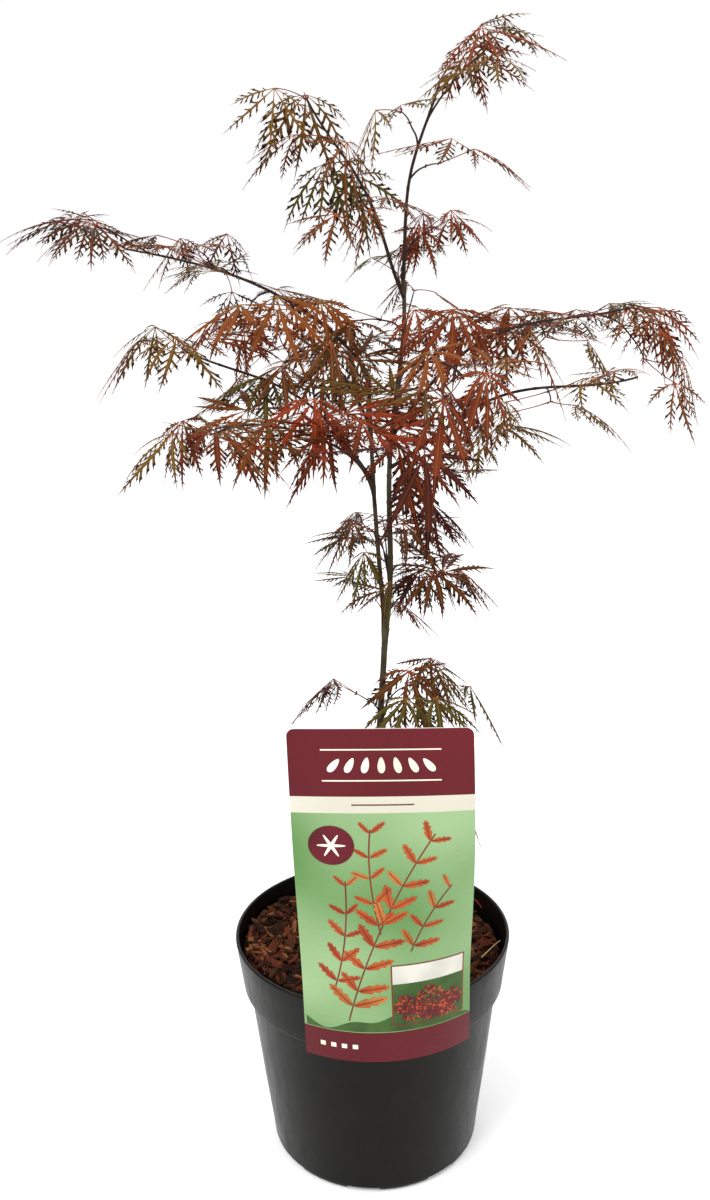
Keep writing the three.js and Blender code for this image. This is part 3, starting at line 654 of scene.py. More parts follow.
for i, name in enumerate(LIMBS):
    src, share, head, rise, length, turn, droop, ease, sway, bob, r0, r1 = LIMBS[name][:12]
    n = int(length / 1.1)
    ts = np.linspace(0, 1, n)
    path = np.array([point_on(name, t) for t in ts])
    radii = r0 + (r1 - r0) * ts
    if src is None:
        far = ts * length
        radii = radii + 2.7 * np.exp(-far / 13) + .7 * np.exp(-(length - far) ** 2 / 60)
        path = np.vstack([path[0] - vec(0, 0, 3), path])
        radii = np.concatenate([[radii[0]], radii])
    else:
        near = np.exp(-(ts * length / 5) ** 2)
        radii = radii * (1 + .35 * near)
    thick = src is None
    sides = 26 if thick else (18 if r0 > 1.4 else 12)
    depth = .16 if thick else .07 * r0
    base = bark_relief(100 + i, depth, length, r0)
    flare = None
    if thick:
        def relief(t, ang, base=base):
            d = base(t, ang)
            d += 1.1 * math.exp(-t * 230 / 9) * (np.sin(4 * ang + .7) * .6 + np.sin(7 * ang + 2) * .3)
            return d
    else:
        relief = base
    v, f = rings(path, radii, sides, relief)
    o = make(name + "_bark", v, f, [BARK if thick else (STEM if name in ("stem_main", "stem_left") else TWIG)])
    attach(o, "root")
    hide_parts(*stretches(name))


# ------------------------------------------------------------------ sprays
TINTS = {
    "scarlet": (124, 46, 23), "orange": (118, 60, 25), "brick": (102, 46, 25),
    "maroon": (64, 30, 20), "brown": (82, 52, 27), "bronze": (94, 68, 29),
    "olive": (70, 64, 26), "green": (60, 66, 27), "dusk": (42, 31, 21),
}
# the teeth and the lobes' ends of such a leaf: darker, and redder than a green or bronze blade
EDGES = {
    "scarlet": (76, 22, 12), "orange": (72, 27, 13), "brick": (57, 21, 12),
    "maroon": (27, 12, 9), "brown": (38, 20, 12), "bronze": (48, 25, 13),
    "olive": (42, 25, 13), "green": (34, 26, 13), "dusk": (18, 13, 9),
}
RIB = {"scarlet": "rib_orange", "orange": "rib_ochre", "brick": "rib_orange", "maroon": "rib_red", "brown": "rib_orange",
       "bronze": "rib_ochre", "olive": "rib_ochre", "green": "rib_ochre", "dusk": "rib_red"}
blades = {k: Heap() for k in TINTS}
ribs = {k: Heap() for k in ("rib_orange", "rib_ochre", "rib_red")}
tint_of_mass = {}
stalks, twiglets, buds = Heap(), Heap(), Heap()
K = len(S_)


def add_lobe(heap, ribheap, lb):
    spine, left, right, nor, lat, teeth = lb
    v = [spine, left, right]
    f = []
    for i in range(K - 1):
        a, b, c = i, K + i, 2 * K + i
        f.append((a, a + 1, b + 1, b))
        f.append((a, c, c + 1, a + 1))
    index = [0 if S_[i] < .68 else 1 for i in range(K - 1) for side in (0, 1)]
    n = 3 * K
    for sgn, (b0, m0, sp, tip, m1, b1) in zip((1, -1), teeth):
        k = len(b0)
        mid = (m0 + tip) * .5
        v += [b0, m0, sp, tip, m1, b1, mid]
        for i in range(k):
            q = [n + j * k + i for j in range(7)]
            a = [(q[0], q[1], q[4], q[5]), (q[1], q[6], q[3], q[4]), (q[1], q[2], q[6])]
            f += a if sgn < 0 else [t[::-1] for t in a]
            index += [0, 1, 1]
        n += 7 * k
    heap.add(np.vstack(v), f, index)
    # the midrib: a thin raised line along the blade, on both faces
    w = np.interp(S_, [0, .2, .8, 1], [.29, .23, .12, .05])[:, None]
    up = nor * np.where((nor[:, 2:3]) < 0, 1, 1)
    top = spine + nor * .13
    low = spine - nor * .13
    lv = spine + lat * w
    rv = spine - lat * w
    g = []
    for i in range(K - 1):
        a, b, c, d = i, K + i, 2 * K + i, 3 * K + i
        g += [(a, a + 1, c + 1, c), (a, d, d + 1, a + 1), (b, c, c + 1, b + 1), (b, b + 1, d + 1, d)]
    ribheap.add(np.vstack([top, low, lv, rv]), g)


def add_bud(at, way, size, r):
    side = unit(np.cross(way, vec(r.uniform(-1, 1), r.uniform(-1, 1), r.uniform(-1, 1))))
    for s in (1, -1):
        d = unit(way * .8 + side * s * .6)
        a = unit(np.cross(d, vec(.3, .8, .2)))
        b = np.cross(d, a)
        base = at + side * s * size * .35
        v = [base]
        for t, w in ((.18, .30), (.45, .42), (.75, .24)):
            for j in range(5):
                c = 2 * math.pi * j / 5
                v.append(base + d * size * 2 * t + (a * math.cos(c) + b * math.sin(c)) * size * w)
        v.append(base + d * size * 2)
        f = [(0, 1 + (j + 1) % 5, 1 + j) for j in range(5)]
        for k in range(2):
            for j in range(5):
                p, q = 1 + 5 * k + j, 1 + 5 * k + (j + 1) % 5
                f.append((p, q, q + 5, p + 5))
        f += [(16, 11 + j, 11 + (j + 1) % 5) for j in range(5)]
        buds.add(v, f)


count = 0
for name, (style, seeds, tints) in SPRAYS.items():
    r = random.Random(sum(ord(c) for c in name))
    dealt = []
    tips = MASSES[name][1] >= .95
    for i, s in enumerate(seeds):
        line, leaves = twig(name, s[0], style, tips and i == 0, s[1:])
        tint = tints[i % len(tints)] if i < len(tints) else r.choice(tints)
        dealt.append(tint)
        if line is not None:
            n = 16
            t = np.linspace(0, 1, n + 1)[:, None]
            p0, p1, p2 = line[0], line[4] * 2 - (line[0] + line[8]) / 2, line[8]
            path = (1 - t) ** 2 * p0 + 2 * t * (1 - t) * p1 + t ** 2 * p2
            path = path + np.sin(t * 9 + s[0]) * vec(.35, .25, .3) * np.sin(t * math.pi)
            rad = np.linspace(.62, .40, n + 1)
            rad[0] *= 1.35
            v, f = rings(path, rad, 6)
            twiglets.add(v, f)
            add_bud(path[-1], unit(path[-1] - path[-2]), 1.3, r)
            if len(path) > 10:
                add_bud(path[10], unit(path[11] - path[9]), 1.0, r)
        elif tips and i == 0:
            add_bud(leaves[0]["node"], leaves[0]["nway"], 1.4, r)
        for l in leaves:
            count += 1
            # leaf stalk
            n0, b = l["node"], l["base"]
            plen = math.sqrt(float((b - n0) @ (b - n0)))
            aim = n0 + unit(l["nway"] * .7 + l["pway"]) * plen * .5
            t = np.linspace(0, 1, 7)[:, None]
            path = (1 - t) ** 2 * n0 + 2 * t * (1 - t) * aim + t ** 2 * b
            v, f = rings(path, np.array([.46, .36, .31, .29, .28, .29, .36]), 5)
            stalks.add(v, f)
            for lb in leaf_lobes(l["seed"], l["base"], l["head"], l["slope"], l["length"], l["lobes"], l["sag"], l["cone"], l["bold"]):
                add_lobe(blades[tint], ribs[RIB[tint]], lb)
    tint_of_mass[name] = max(set(dealt), key=dealt.count)

STALK = leaf("leaf_stalks", rgb(112, 48, 34), .45)
RIBS = {"rib_orange": leaf("midrib_orange", rgb(160, 82, 44), .5), "rib_ochre": leaf("midrib_ochre", rgb(138, 98, 48), .5),
        "rib_red": leaf("midrib_red", rgb(118, 50, 38), .5)}
first = {}
for k, h in blades.items():
    if not h.v:
        continue
    o = h.make("leaves_" + k, [leaf("leaf_" + k, rgb(*TINTS[k])), leaf("leaf_edges_" + k, rgb(*EDGES[k]))])
    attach(o, "root")
    own = [m for m, t in tint_of_mass.items() if t == k]
    if own:
        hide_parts(*own)
for k, h in ribs.items():
    if h.v:
        o = h.make("midribs_" + k[4:], [RIBS[k]])
        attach(o, "root")
for nm, h, m, sl in (("leaf_stalks", stalks, STALK, "foliage_red"), ("twigs", twiglets, TWIG, "twig_bark"),
                     ("buds", buds, leaf("bud_scales", rgb(112, 40, 34), .5), "foliage_red")):
    o = h.make(nm, [m])
    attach(o, "root")

# ------------------------------------------------------------------ pot
POT_RIM_R, POT_RIM_Z, BAND_R, BAND_Z, BODY_R, BASE_R, WALL = 94.9, 157.9, 90.2, 121.4, 86.4, 72.5, 1.6


def arc(p0, p1, p2, n):
    """A rounded corner: a curve from p0 to p2 that leans towards p1."""
    out = []
    for i in range(n + 1):
        t = i / n
        out.append(tuple((1 - t) ** 2 * a + 2 * t * (1 - t) * b + t * t * c for a, b, c in zip(p0, p1, p2)))
    return out


outer = ([(0, 0), (46, 0), (47.5, 3.4), (60, 3.4), (61.5, 0)] + arc((BASE_R - 3.4, 0), (BASE_R - .1, 0), (BASE_R + .3, 5), 7)
         + [(BASE_R + 1.2, 14), (78.5, 52), (82.6, 88)]
         + arc((BODY_R - .25, BAND_Z - 3.2), (BODY_R, BAND_Z - .6), (BODY_R + 1.0, BAND_Z - .35), 4)
         + arc((BAND_R - 1.2, BAND_Z - .1), (BAND_R, BAND_Z), (BAND_R + .15, BAND_Z + 1.2), 4)
         + [(91.4, 131), (93.2, 145)]
         + arc((POT_RIM_R - .12, POT_RIM_Z - 1.6), (POT_RIM_R, POT_RIM_Z), (POT_RIM_R - 1.1, POT_RIM_Z), 5)
         + arc((POT_RIM_R - 1.6, POT_RIM_Z), (POT_RIM_R - 2.3, POT_RIM_Z), (POT_RIM_R - 2.4, POT_RIM_Z - 1.0), 4)
         + [(91.2, 148), (BAND_R - WALL - .1, BAND_Z + 1.6), (BODY_R - WALL, BAND_Z - 2), (BASE_R + .6 - WALL, 8), (BASE_R - 3, 5.4), (0, 5.4)])
SEG = 144
bm = bmesh.new()
rows = []
for r0, z0 in outer:
    if r0 == 0:
        rows.append([bm.verts.new((0, 0, z0 * MM))])
    else:
        rows.append([bm.verts.new((r0 * math.cos(2 * math.pi * j / SEG) * MM, r0 * math.sin(2 * math.pi * j / SEG) * MM, z0 * MM)) for j in range(SEG)])
for a, b in zip(rows, rows[1:]):
    for j in range(SEG):
        k = (j + 1) % SEG
        if len(a) == 1:
            bm.faces.new((a[0], b[k], b[j]))
        elif len(b) == 1:
            bm.faces.new((a[j], a[k], b[0]))
        else:
            bm.faces.new((a[j], a[k], b[k], b[j]))
bmesh.ops.recalc_face_normals(bm, faces=bm.faces)
me = bpy.data.meshes.new("nursery_pot")
bm.to_mesh(me)
bm.free()
pot = bpy.data.objects.new("nursery_pot", me)
bpy.context.scene.collection.objects.link(pot)

bm = bmesh.new()
for i in range(8):
    a = math.radians(-97 + 45 * i)
    q = bmesh.ops.create_cube(bm, size=1)
    for v in q["verts"]:
        taper = 1 - .10 * (v.co.z > 0)
        x, y, z = 67.5 + v.co.x * 18, v.co.y * 24 * taper, .9 + v.co.z * 4.4
        v.co = (MM * (x * math.cos(a) - y * math.sin(a)), MM * (x * math.sin(a) + y * math.cos(a)), MM * z)
    b = a + math.pi / 8
    q = bmesh.ops.create_cone(bm, cap_ends=True, segments=20, radius1=4.5 * MM, radius2=4.5 * MM, depth=10 * MM)
    for v in q["verts"]:
        v.co = (v.co.x + 53.7 * MM * math.cos(b), v.co.y + 53.7 * MM * math.sin(b), v.co.z + 3 * MM)
me = bpy.data.meshes.new("cutters")
bm.to_mesh(me)
bm.free()
cutter = bpy.data.objects.new("cutters", me)
bpy.context.scene.collection.objects.link(cutter)
mod = pot.modifiers.new("cut", "BOOLEAN")
mod.operation = "DIFFERENCE"
mod.solver = "EXACT"
mod.object = cutter
bpy.context.view_layer.update()
done = bpy.data.meshes.new_from_object(pot.evaluated_get(bpy.context.evaluated_depsgraph_get()))
pot.modifiers.clear()
pot.data = done
bpy.data.objects.remove(cutter, do_unlink=True)
pot.data.materials.clear()
pot.data.materials.append(pot_plastic())
for p in pot.data.polygons:
    p.use_smooth = True
try:
    pot.data.set_sharp_from_angle(angle=math.radians(38))
except AttributeError:
    pass
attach(pot, "root")
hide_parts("pot")


# ------------------------------------------------------------------ bark mulch
def mulch_height(x, y):
    far = math.hypot(x - FOOT_X, y)
    blend = smoothstep(far, 9, 26)
    lumps = 1.3 * math.sin(.19 * x + 1.3) * math.cos(.23 * y - .6) + .9 * math.sin(.41 * x - .31 * y)
    return SOIL_Z + blend * (-.055 * x - .06 * y + lumps)


def wall_at(z):
    """Inside radius of the pot's rim."""
    return (BAND_R - WALL - .1) + (POT_RIM_R - 2.4 - BAND_R + WALL + .1) * (z - BAND_Z - 1.6) / (POT_RIM_Z - BAND_Z - 2.6)


ROOT = bark_mulch("root_mulch", rgb(14, 8, 5), rgb(34, 18, 11), rgb(62, 34, 20))
ball = frame["nodes"]["root_ball"]
for s in range(len(ball.material_slots)):
    ball.material_slots[s].material = ROOT
if not ball.material_slots:
    ball.data.materials.append(ROOT)

CHIPS = {
    "chips_dark": (bark_mulch("mulch_dark", rgb(18, 10, 7), rgb(44, 23, 14), rgb(80, 44, 28)), .32),
    "chips_red": (bark_mulch("mulch_red", rgb(46, 20, 12), rgb(94, 44, 25), rgb(140, 78, 46)), .34),
    "chips_brown": (bark_mulch("mulch_brown", rgb(36, 20, 13), rgb(72, 42, 26), rgb(116, 74, 48)), .21),
    "chips_tan": (bark_mulch("mulch_tan", rgb(80, 44, 24), rgb(134, 82, 48), rgb(186, 132, 88)), .13),
}
heaps = {k: Heap() for k in CHIPS}
cr = random.Random(77)


def chip(heap, x, y, z, long, wide, thick, head, pitch, roll, r):
    """A splinter of bark: a bent, tapering slab with broken ends."""
    n = 4 if long > 9 else 3
    bend = r.uniform(-.12, .12)
    skew = r.uniform(-.3, .3)
    v = []
    for i in range(n + 1):
        t = i / n - .5
        w = wide * (1 - 1.1 * abs(t) ** 2.2 * r.uniform(.4, 1.5)) * r.uniform(.8, 1.12)
        h = thick * (1 - .8 * abs(t) ** 2) * r.uniform(.8, 1.15)
        cx = t * long
        cz = bend * long * (t * t * 4 - .5)
        for sx, sz in ((-1, -1), (1, -1), (1.0, .6), (.25, 1.0), (-.45, .95), (-1.0, .45)):
            jx = r.uniform(-.09, .09) * long * (1 if i in (0, n) else .25)
            v.append((cx + jx + skew * sx * wide * .5 * (1 if i in (0, n) else .3), sx * w * .5 + r.uniform(-.06, .06) * wide, cz + sz * h * .5 + r.uniform(-.12, .12) * thick))
    f = []
    m = 6
    for i in range(n):
        for j in range(m):
            k = (j + 1) % m
            f.append((i * m + j, (i + 1) * m + j, (i + 1) * m + k, i * m + k))
    f.append(tuple(range(m)))
    f.append(tuple(n * m + j for j in reversed(range(m))))
    q = (Matrix.Rotation(head, 3, "Z") @ Matrix.Rotation(pitch, 3, "Y") @ Matrix.Rotation(roll, 3, "X"))
    v = np.array(v) @ np.array(q).T + vec(x, y, z)
    heap.add(v, f)
    return v


def deal(r):
    u = r.random()
    for k, (m, share) in CHIPS.items():
        u -= share
        if u <= 0:
            return k
    return "chips_red"


for layer, number in ((0, 640), (1, 760), (2, 520)):
    for i in range(number):
        rad = math.sqrt(cr.random()) * 91
        a = cr.uniform(0, 2 * math.pi)
        x, y = rad * math.cos(a), rad * math.sin(a)
        big = cr.random()
        long = cr.uniform(5, 11) if big < .42 else (cr.uniform(10, 18) if big < .86 else cr.uniform(17, 28))
        wide = long * cr.uniform(.10, .30) if long > 9 else long * cr.uniform(.22, .55)
        thick = min(2.2, cr.uniform(.6, 1.9))
        if math.hypot(x - FOOT_X, y) < 5.5 + long * .35:
            continue
        z = mulch_height(x, y) - .2 + layer * 1.3 + cr.uniform(-.5, .7)
        if rad > 86:
            z = min(z, 146.5)
        room = wall_at(z - 2) - .8
        head = cr.uniform(0, 2 * math.pi)
        reach = math.hypot(x + abs(math.cos(head)) * long / 2 * (1 if x > 0 else -1), y + abs(math.sin(head)) * long / 2 * (1 if y > 0 else -1))
        if reach + wide * .4 > room:
            if rad > room - 3:
                x, y = x * (room - 4) / rad, y * (room - 4) / rad
            head = math.atan2(y, x) + math.pi / 2
            if math.hypot(math.hypot(x, y) + wide / 2, long / 2) > room:
                long = min(long, 9)
                k = (room - 1.2 - wide * .5) / max(1, math.hypot(x, y))
                if k < 1:
                    x, y = x * k * .985, y * k * .985
        chip(heaps[deal(cr)], x, y, z, long, wide, thick, head, cr.gauss(0, .16 + .07 * layer), cr.gauss(0, .3), cr)
for k, h in heaps.items():
    o = h.make(k, [CHIPS[k][0]], smooth=False)
    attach(o, "root")

# a dry red leaf stalk against the wall at the back right, and a pale root end on the mulch
litter = Heap()
t = np.linspace(0, 1, 14)[:, None]
a0, a1, a2 = vec(66, 60.5, 147.2), vec(74, 50, 155), vec(80.5, 41.5, 147)
v, f = rings((1 - t) ** 2 * a0 + 2 * t * (1 - t) * a1 + t ** 2 * a2, np.linspace(.5, .35, 14), 6)
litter.add(v, f)
o = litter.make("fallen_stalk", [leaf("dry_stalk", rgb(140, 52, 44), .5)])
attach(o, "root")
straw = Heap()
b0, b1, b2 = vec(74, -24, 147.4), vec(84, -14, 151.5), vec(88.2, -9, 151.0)
v, f = rings((1 - t) ** 2 * b0 + 2 * t * (1 - t) * b1 + t ** 2 * b2, np.linspace(.45, .3, 14), 6)
straw.add(v, f)
o = straw.make("pale_straw", [bark("straw", rgb(190, 160, 112), rgb(214, 190, 146), rgb(146, 112, 74), .6)])
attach(o, "root")

# ------------------------------------------------------------------ hanging tag
TAG_W, TAG_FOOT_W, TAG_LOW, TAG_TOP, TAG_X, CORNER, ASKEW = 104.7, 113.6, 115.7, 353.6, 9.3, 4.5, math.radians(1)
TAG_FOOT_X = 1.5
band_slope = (POT_RIM_R - BAND_R) / (POT_RIM_Z - BAND_Z)


def tag_point(s, z, proud=0.0):
    """Where the tag's front face is, s mm along it from its middle; proud is in front of it."""
    s, z = (s - (z - POT_RIM_Z) * math.sin(ASKEW) + TAG_FOOT_X * (TAG_TOP - z) / (TAG_TOP - TAG_LOW),
            z - s * math.sin(ASKEW) * .5)
    front = -(POT_RIM_R + GAP + 0.5 + 1.2 + (z - POT_RIM_Z) * band_slope)
    k = smoothstep(z, POT_RIM_Z + 4, POT_RIM_Z + 190)
    bend = (-1 / front) * (1 - k) + .0006 * k
    turn = TAG_X * bend
    r = 1 / bend + proud
    return vec(TAG_X - turn / bend + r * math.sin(s * bend + turn), front + 1 / bend - r * math.cos(s * bend + turn), z)


def tag_half(z):
    down = TAG_TOP - z
    half = (TAG_FOOT_W + (TAG_W - TAG_FOOT_W) * (z - TAG_LOW) / (TAG_TOP - TAG_LOW)) / 2
    if down < CORNER:
        half -= CORNER - math.sqrt(max(0, CORNER ** 2 - (CORNER - down) ** 2))
    return half


MAROON = tag_print("tag_maroon", rgb(88, 19, 27), rgb(98, 23, 32), 9)
CREAM = tag_print("tag_cream", rgb(210, 206, 190), rgb(200, 195, 178), 12)
GREEN = tag_print("tag_green", rgb(90, 132, 72), rgb(148, 178, 130), 11, .24, .34, .70)
BACK = tag_print("tag_back", rgb(226, 226, 220), rgb(216, 216, 208), 20)
levels = [TAG_LOW, 139.0, 299.0, 310.0, TAG_TOP]
zs = []
for a, b in zip(levels, levels[1:]):
    n = max(1, int((b - a) / 4))
    zs += [a + (b - a) * i / n for i in range(n)]
zs += [TAG_TOP - CORNER * (1 - math.sin(math.radians(q))) for q in (10, 20, 30, 40, 50, 60, 70, 80)] + [TAG_TOP]
zs = sorted(set(round(z, 4) for z in zs))
NX = 28
verts, faces, index = [], [], []
for z in zs:
    h = tag_half(z)
    for j in range(NX + 1):
        verts.append(tag_point((2 * j / NX - 1) * h, z))
front_n = len(verts)
for z in zs:
    h = tag_half(z)
    for j in range(NX + 1):
        verts.append(tag_point((2 * j / NX - 1) * h, z, -1.0))


def band(z):
    return 0 if z < 139 else (2 if z < 299 else (1 if z < 310 else 0))


W1 = NX + 1
for i in range(len(zs) - 1):
    m = band((zs[i] + zs[i + 1]) / 2)
    for j in range(NX):
        q = (i * W1 + j, i * W1 + j + 1, (i + 1) * W1 + j + 1, (i + 1) * W1 + j)
        faces.append(q)
        index.append(m)
        faces.append(tuple(front_n + k for k in reversed(q)))
        index.append(3)
    for j, flip in ((0, False), (NX, True)):
        q = (i * W1 + j, (i + 1) * W1 + j, front_n + (i + 1) * W1 + j, front_n + i * W1 + j)
        faces.append(q[::-1] if flip else q)
        index.append(3)
for i, flip in ((0, True), (len(zs) - 1, False)):
    for j in range(NX):
        q = (i * W1 + j, i * W1 + j + 1, front_n + i * W1 + j + 1, front_n + i * W1 + j)
        faces.append(q[::-1] if flip else q)
        index.append(3)
tag = make("tag_card", verts, faces, [MAROON, CREAM, GREEN, BACK], index)
try:
    tag.data.set_sharp_from_angle(angle=math.radians(40))
except AttributeError:
    pass
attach(tag, "root")
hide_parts("hanging_tag")

# the hook over the rim
hook = []
yi = -(POT_RIM_R - 3.4)
top_back = float(tag_point(-TAG_X, 165, -1.2)[1])
prof = [(top_back - .2, 166.5), (float(tag_point(-TAG_X, 159, -1.0)[1]), POT_RIM_Z + GAP + .1), (yi + .2, POT_RIM_Z + GAP + .1), (yi + 1.0, 152.2), (yi + 1.9, 151.9),
        (yi + 1.4, POT_RIM_Z + 1.2), (yi + .5, POT_RIM_Z + 1.7), (top_back + .9, POT_RIM_Z + 2.0), (top_back + .8, 166.5)]
hv, hf = [], []
for sx in (-8.6, 8.6):
    hv += [(sx, y, z) for y, z in prof]
m = len(prof)
hf.append(tuple(range(m)))
hf.append(tuple(m + j for j in reversed(range(m))))
for j in range(m):
    k = (j + 1) % m
    hf.append((j, m + j, m + k, k))
o = make("tag_hook", hv, hf, [BACK], None, False)
bm = bmesh.new()
bm.from_mesh(o.data)
bmesh.ops.recalc_face_normals(bm, faces=bm.faces)
bmesh.ops.bevel(bm, geom=bm.edges[:], offset=.15 * MM, segments=1, affect="EDGES")
bm.to_mesh(o.data)
bm.free()
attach(o, "root")

# the print: plain shapes of the builder's own, a hair proud of the card
prints = {k: Heap() for k in ("tag_rust", "tag_ochre", "tag_deep", "tag_bed", "tag_pale", "tag_stem", "tag_moss", "tag_cloud")}


def blob(heap, s, z, pts, proud):
    """A flat shape on the tag: a fan of (ds, dz) round its middle."""
    v = [tag_point(s, z, proud)] + [tag_point(s + a, z + b, proud) for a, b in pts]
    n = len(pts)
    heap.add(v, [(0, 1 + j, 1 + (j + 1) % n) for j in range(n)])


def oval(a, b, turn, n=18, point=.0):
    out = []
    for j in range(n):
        t = 2 * math.pi * j / n
        x, y = a * math.cos(t), b * math.sin(t) * (1 - point * math.cos(t))
        out.append((x * math.cos(turn) - y * math.sin(turn), x * math.sin(turn) + y * math.cos(turn)))
    return out


def line(heap, pts, w, proud):
    v, n = [], len(pts)
    for i, (s, z) in enumerate(pts):
        p, q = pts[max(0, i - 1)], pts[min(n - 1, i + 1)]
        dx, dz = q[0] - p[0], q[1] - p[1]
        k = w * .5 / max(1e-6, math.hypot(dx, dz))
        v += [tag_point(s - dz * k, z + dx * k, proud), tag_point(s + dz * k, z - dx * k, proud)]
    heap.add(v, [(2 * i + 1, 2 * i + 3, 2 * i + 2, 2 * i) for i in range(n - 1)])


pr = random.Random(5)


def sprig(s0, z0, s1, z1, sway, n, big):
    """A twig with pairs of narrow toothed leaves, from its foot to its tip."""
    mid = (s0 + s1) / 2 - sway * 1.2, (z0 + z1) / 2 + sway * .6
    pts = []
    for i in range(26):
        t = i / 25
        pts.append(((1 - t) ** 2 * s0 + 2 * t * (1 - t) * mid[0] + t * t * s1, (1 - t) ** 2 * z0 + 2 * t * (1 - t) * mid[1] + t * t * z1))
    line(prints["tag_stem"], pts, .9, .10)
    for i in range(n):
        k = int(3 + (22 * i) / max(1, n - 1))
        p, q = pts[k - 1], pts[min(25, k + 1)]
        way = math.atan2(q[1] - p[1], q[0] - p[0])
        for sgn in (1, -1):
            size = (big - big * .4 * i / n) * pr.uniform(.85, 1.12)
            turn = way + sgn * math.radians(pr.uniform(34, 66))
            c, d = math.cos(turn), math.sin(turn)
            at = size + .8
            if not (-44 < p[0] + c * 2 * size < 46 and 146 < p[1] + d * 2 * size < 295):
                continue
            edge = []
            for j in range(24):
                # a saw edge: every other point stands out and forward
                u = j / 24 * 2 * math.pi
                saw = math.cos(u) > -.4
                w = .30 * size * math.sin(u) * ((1.25 if j % 2 else .72) if saw else 1.0)
                x = size * math.cos(u) + (.09 * size if j % 2 and saw else 0)
                edge.append((x * c - w * d, x * d + w * c))
            blob(prints[pr.choice(("tag_rust", "tag_rust", "tag_ochre"))], p[0] + c * at, p[1] + d * at, edge, .14)
            far = at + size * .8
            line(prints["tag_stem"], [(p[0] + c * (1 + (far - 1) * j / 10), p[1] + d * (1 + (far - 1) * j / 10)) for j in range(11)], .55, .30)


for row in ((-26, 148, 30, 284, 9, 9, 9.6), (-34, 172, -24, 252, -5, 5, 7.6), (14, 200, 40, 246, 3, 4, 7.6),
            (-4, 214, -8, 288, 5, 5, 7.4)):
    sprig(*row)
def field(name, s0, z0, s1, z1, proud):
    n = 16
    v = [tag_point(s0 + (s1 - s0) * i / n, z0 + (z1 - z0) * j / n, proud) for j in range(n + 1) for i in range(n + 1)]
    prints[name].add(v, [(j * (n + 1) + i, j * (n + 1) + i + 1, (j + 1) * (n + 1) + i + 1, (j + 1) * (n + 1) + i)
                         for j in range(n) for i in range(n)])


# a picture low on the right: a bed of low red domes under a pale sky
field("tag_stem", 1.0, 143.6, 50.0, 190.6, .09)
field("tag_cloud", 1.9, 176, 49.1, 189.7, .12)
field("tag_moss", 1.9, 144.5, 49.1, 176.2, .12)
for cx, cz, w, h in ((10, 160, 9, 14), (26, 163, 11, 18), (41, 159, 8.5, 13), (18, 153, 10, 11), (34, 152, 10, 11)):
    for j in range(170):
        u, q = pr.uniform(-1, 1), pr.random()
        x, z = cx + w * u, cz - h * .5 + h * q * math.sqrt(1 - u * u)
        if 3.2 < x < 47.8 and 145.6 < z < 188:
            g = pr.uniform(.9, 1.7)
            blob(prints[pr.choice(("tag_deep", "tag_bed", "tag_bed", "tag_rust"))], x, z, oval(g, g * .55, pr.uniform(0, 3.1), 7), .15 + .0003 * j)
# a round seal, lines and pips in the top band, and small squares at the foot
blob(prints["tag_deep"], -31, 277, oval(13.5, 13.5, 0, 36), .22)
for k in range(3):
    blob(prints["tag_pale"], -31, 277, oval(8.6, 1.0, k * math.pi / 3, 18), .26 + .02 * k)
for z in (340.5, 320.5):
    line(prints["tag_pale"], [(-34 + 68 * j / 24, z) for j in range(25)], .9, .14)
for k in range(7):
    blob(prints["tag_pale"], -27 + 9 * k, 330.5, oval(5.2, 2.1, math.pi / 2 + (k - 3) * .22, 16, .3), .14)
line(prints["tag_deep"], [(-18 + 36 * j / 16, 304.5) for j in range(17)], .8, .14)
for k in range(4):
    blob(prints["tag_pale"], -44 + 7 * k, 127.5, [(-1.7, -1.7), (1.7, -1.7), (1.7, 1.7), (-1.7, 1.7)], .12)
# low hills across the foot of the panel
hill = [(-54.6, 139.6)]
for i in range(61):
    s = -54.6 + 109.2 * i / 60
    hill.append((s, 147 + 4.5 * math.sin(s * .07 + 1.2) + 2.2 * math.sin(s * .19)))
hill.append((54.6, 139.6))
hv = []
for s, z in hill[1:-1]:
    hv += [tag_point(s, 139.6, .06), tag_point(s, z, .06)]
prints["tag_moss"].add(hv, [(2 * i, 2 * i + 2, 2 * i + 3, 2 * i + 1) for i in range(len(hill) - 3)])
INK = {"tag_rust": (rgb(176, 84, 36), rgb(150, 58, 28)), "tag_ochre": (rgb(186, 112, 54), rgb(160, 88, 40)), "tag_bed": (rgb(112, 36, 34), rgb(84, 26, 26)), "tag_cloud": (rgb(196, 196, 184), rgb(214, 210, 200)),
       "tag_deep": (rgb(96, 22, 34), rgb(80, 18, 28)), "tag_pale": (rgb(240, 232, 214), rgb(228, 218, 196)),
       "tag_stem": (rgb(120, 52, 34), rgb(104, 44, 30)), "tag_moss": (rgb(62, 92, 42), rgb(46, 72, 32))}
for k, h in prints.items():
    o = h.make(k, [tag_print("ink_" + k[4:], *INK[k], 60)])
    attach(o, "root")


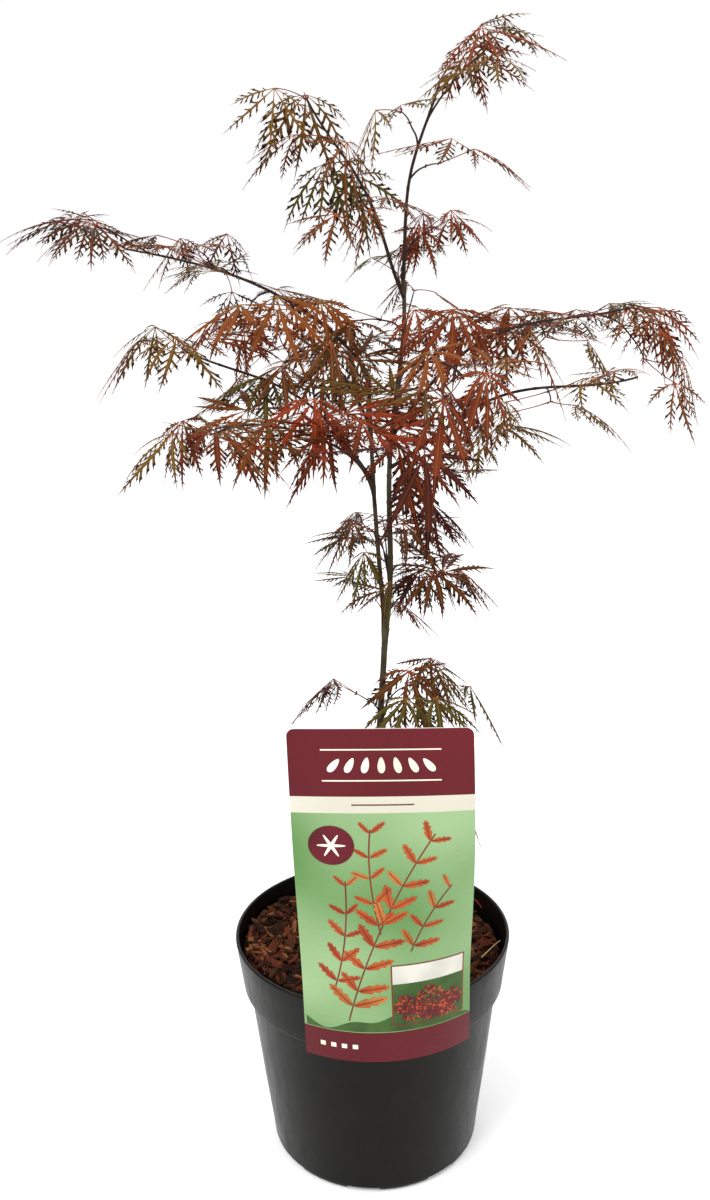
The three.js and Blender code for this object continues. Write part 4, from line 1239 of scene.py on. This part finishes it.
# ------------------------------------------------------------------ floor, light, camera
bpy.ops.mesh.primitive_plane_add(size=40, location=(0, 0, -0.0004))
floor = bpy.context.object
floor.name = "floor"
fm = Mat("floor_white", rgb(250, 250, 250), .9)
fm.s.inputs["Emission Color"].default_value = (1, 1, 1, 1)
fm.s.inputs["Emission Strength"].default_value = .14
floor.data.materials.append(fm.m)

bpy.context.scene.view_settings.view_transform = "Standard"
world = bpy.data.worlds.new("studio")
bpy.context.scene.world = world
world.use_nodes = True
world.node_tree.nodes["Background"].inputs[0].default_value = (1, 1, 1, 1)
world.node_tree.nodes["Background"].inputs[1].default_value = 1.0


def area(name, at, aim, size, power, size_y=None):
    d = bpy.data.lights.new(name, "AREA")
    d.energy = power
    d.size = size
    if size_y:
        d.shape = "RECTANGLE"
        d.size_y = size_y
    o = bpy.data.objects.new(name, d)
    bpy.context.scene.collection.objects.link(o)
    z = np.array(at, float) - np.array(aim, float)
    z /= np.linalg.norm(z)
    x = np.cross((0, 0, 1), z)
    x /= np.linalg.norm(x)
    y = np.cross(z, x)
    o.matrix_world = Matrix(((x[0], y[0], z[0], at[0]), (x[1], y[1], z[1], at[1]), (x[2], y[2], z[2], at[2]), (0, 0, 0, 1)))
    return o


area("key", (-1.2, -1.5, 2.4), (0, 0, .35), 1.2, 40)
area("fill", (1.7, -1.3, 1.5), (0, 0, .35), 1.4, 8)
area("back", (.2, 2.0, 1.8), (0, 0, .4), 1.6, 9)

cam = bpy.data.cameras.new("camera")
cam.sensor_width = 36
cam.lens = 36
cam.clip_start = 0.01
camera = bpy.data.objects.new("camera", cam)
bpy.context.scene.collection.objects.link(camera)
camera.matrix_world = (Matrix.Translation((0, -0.745, 0.601)) @ Matrix.Rotation(math.radians(0.61), 4, "Z")
                       @ Matrix.Rotation(math.radians(90 - 15.52), 4, "X") @ Matrix.Rotation(math.radians(-1.03), 4, "Z"))
bpy.context.scene.camera = camera

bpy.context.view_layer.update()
tris = sum(len(p.vertices) - 2 for o in bpy.data.objects if o.type == "MESH" and o.visible_get() for p in o.data.polygons)
print("leaves", count, "triangles", tris)
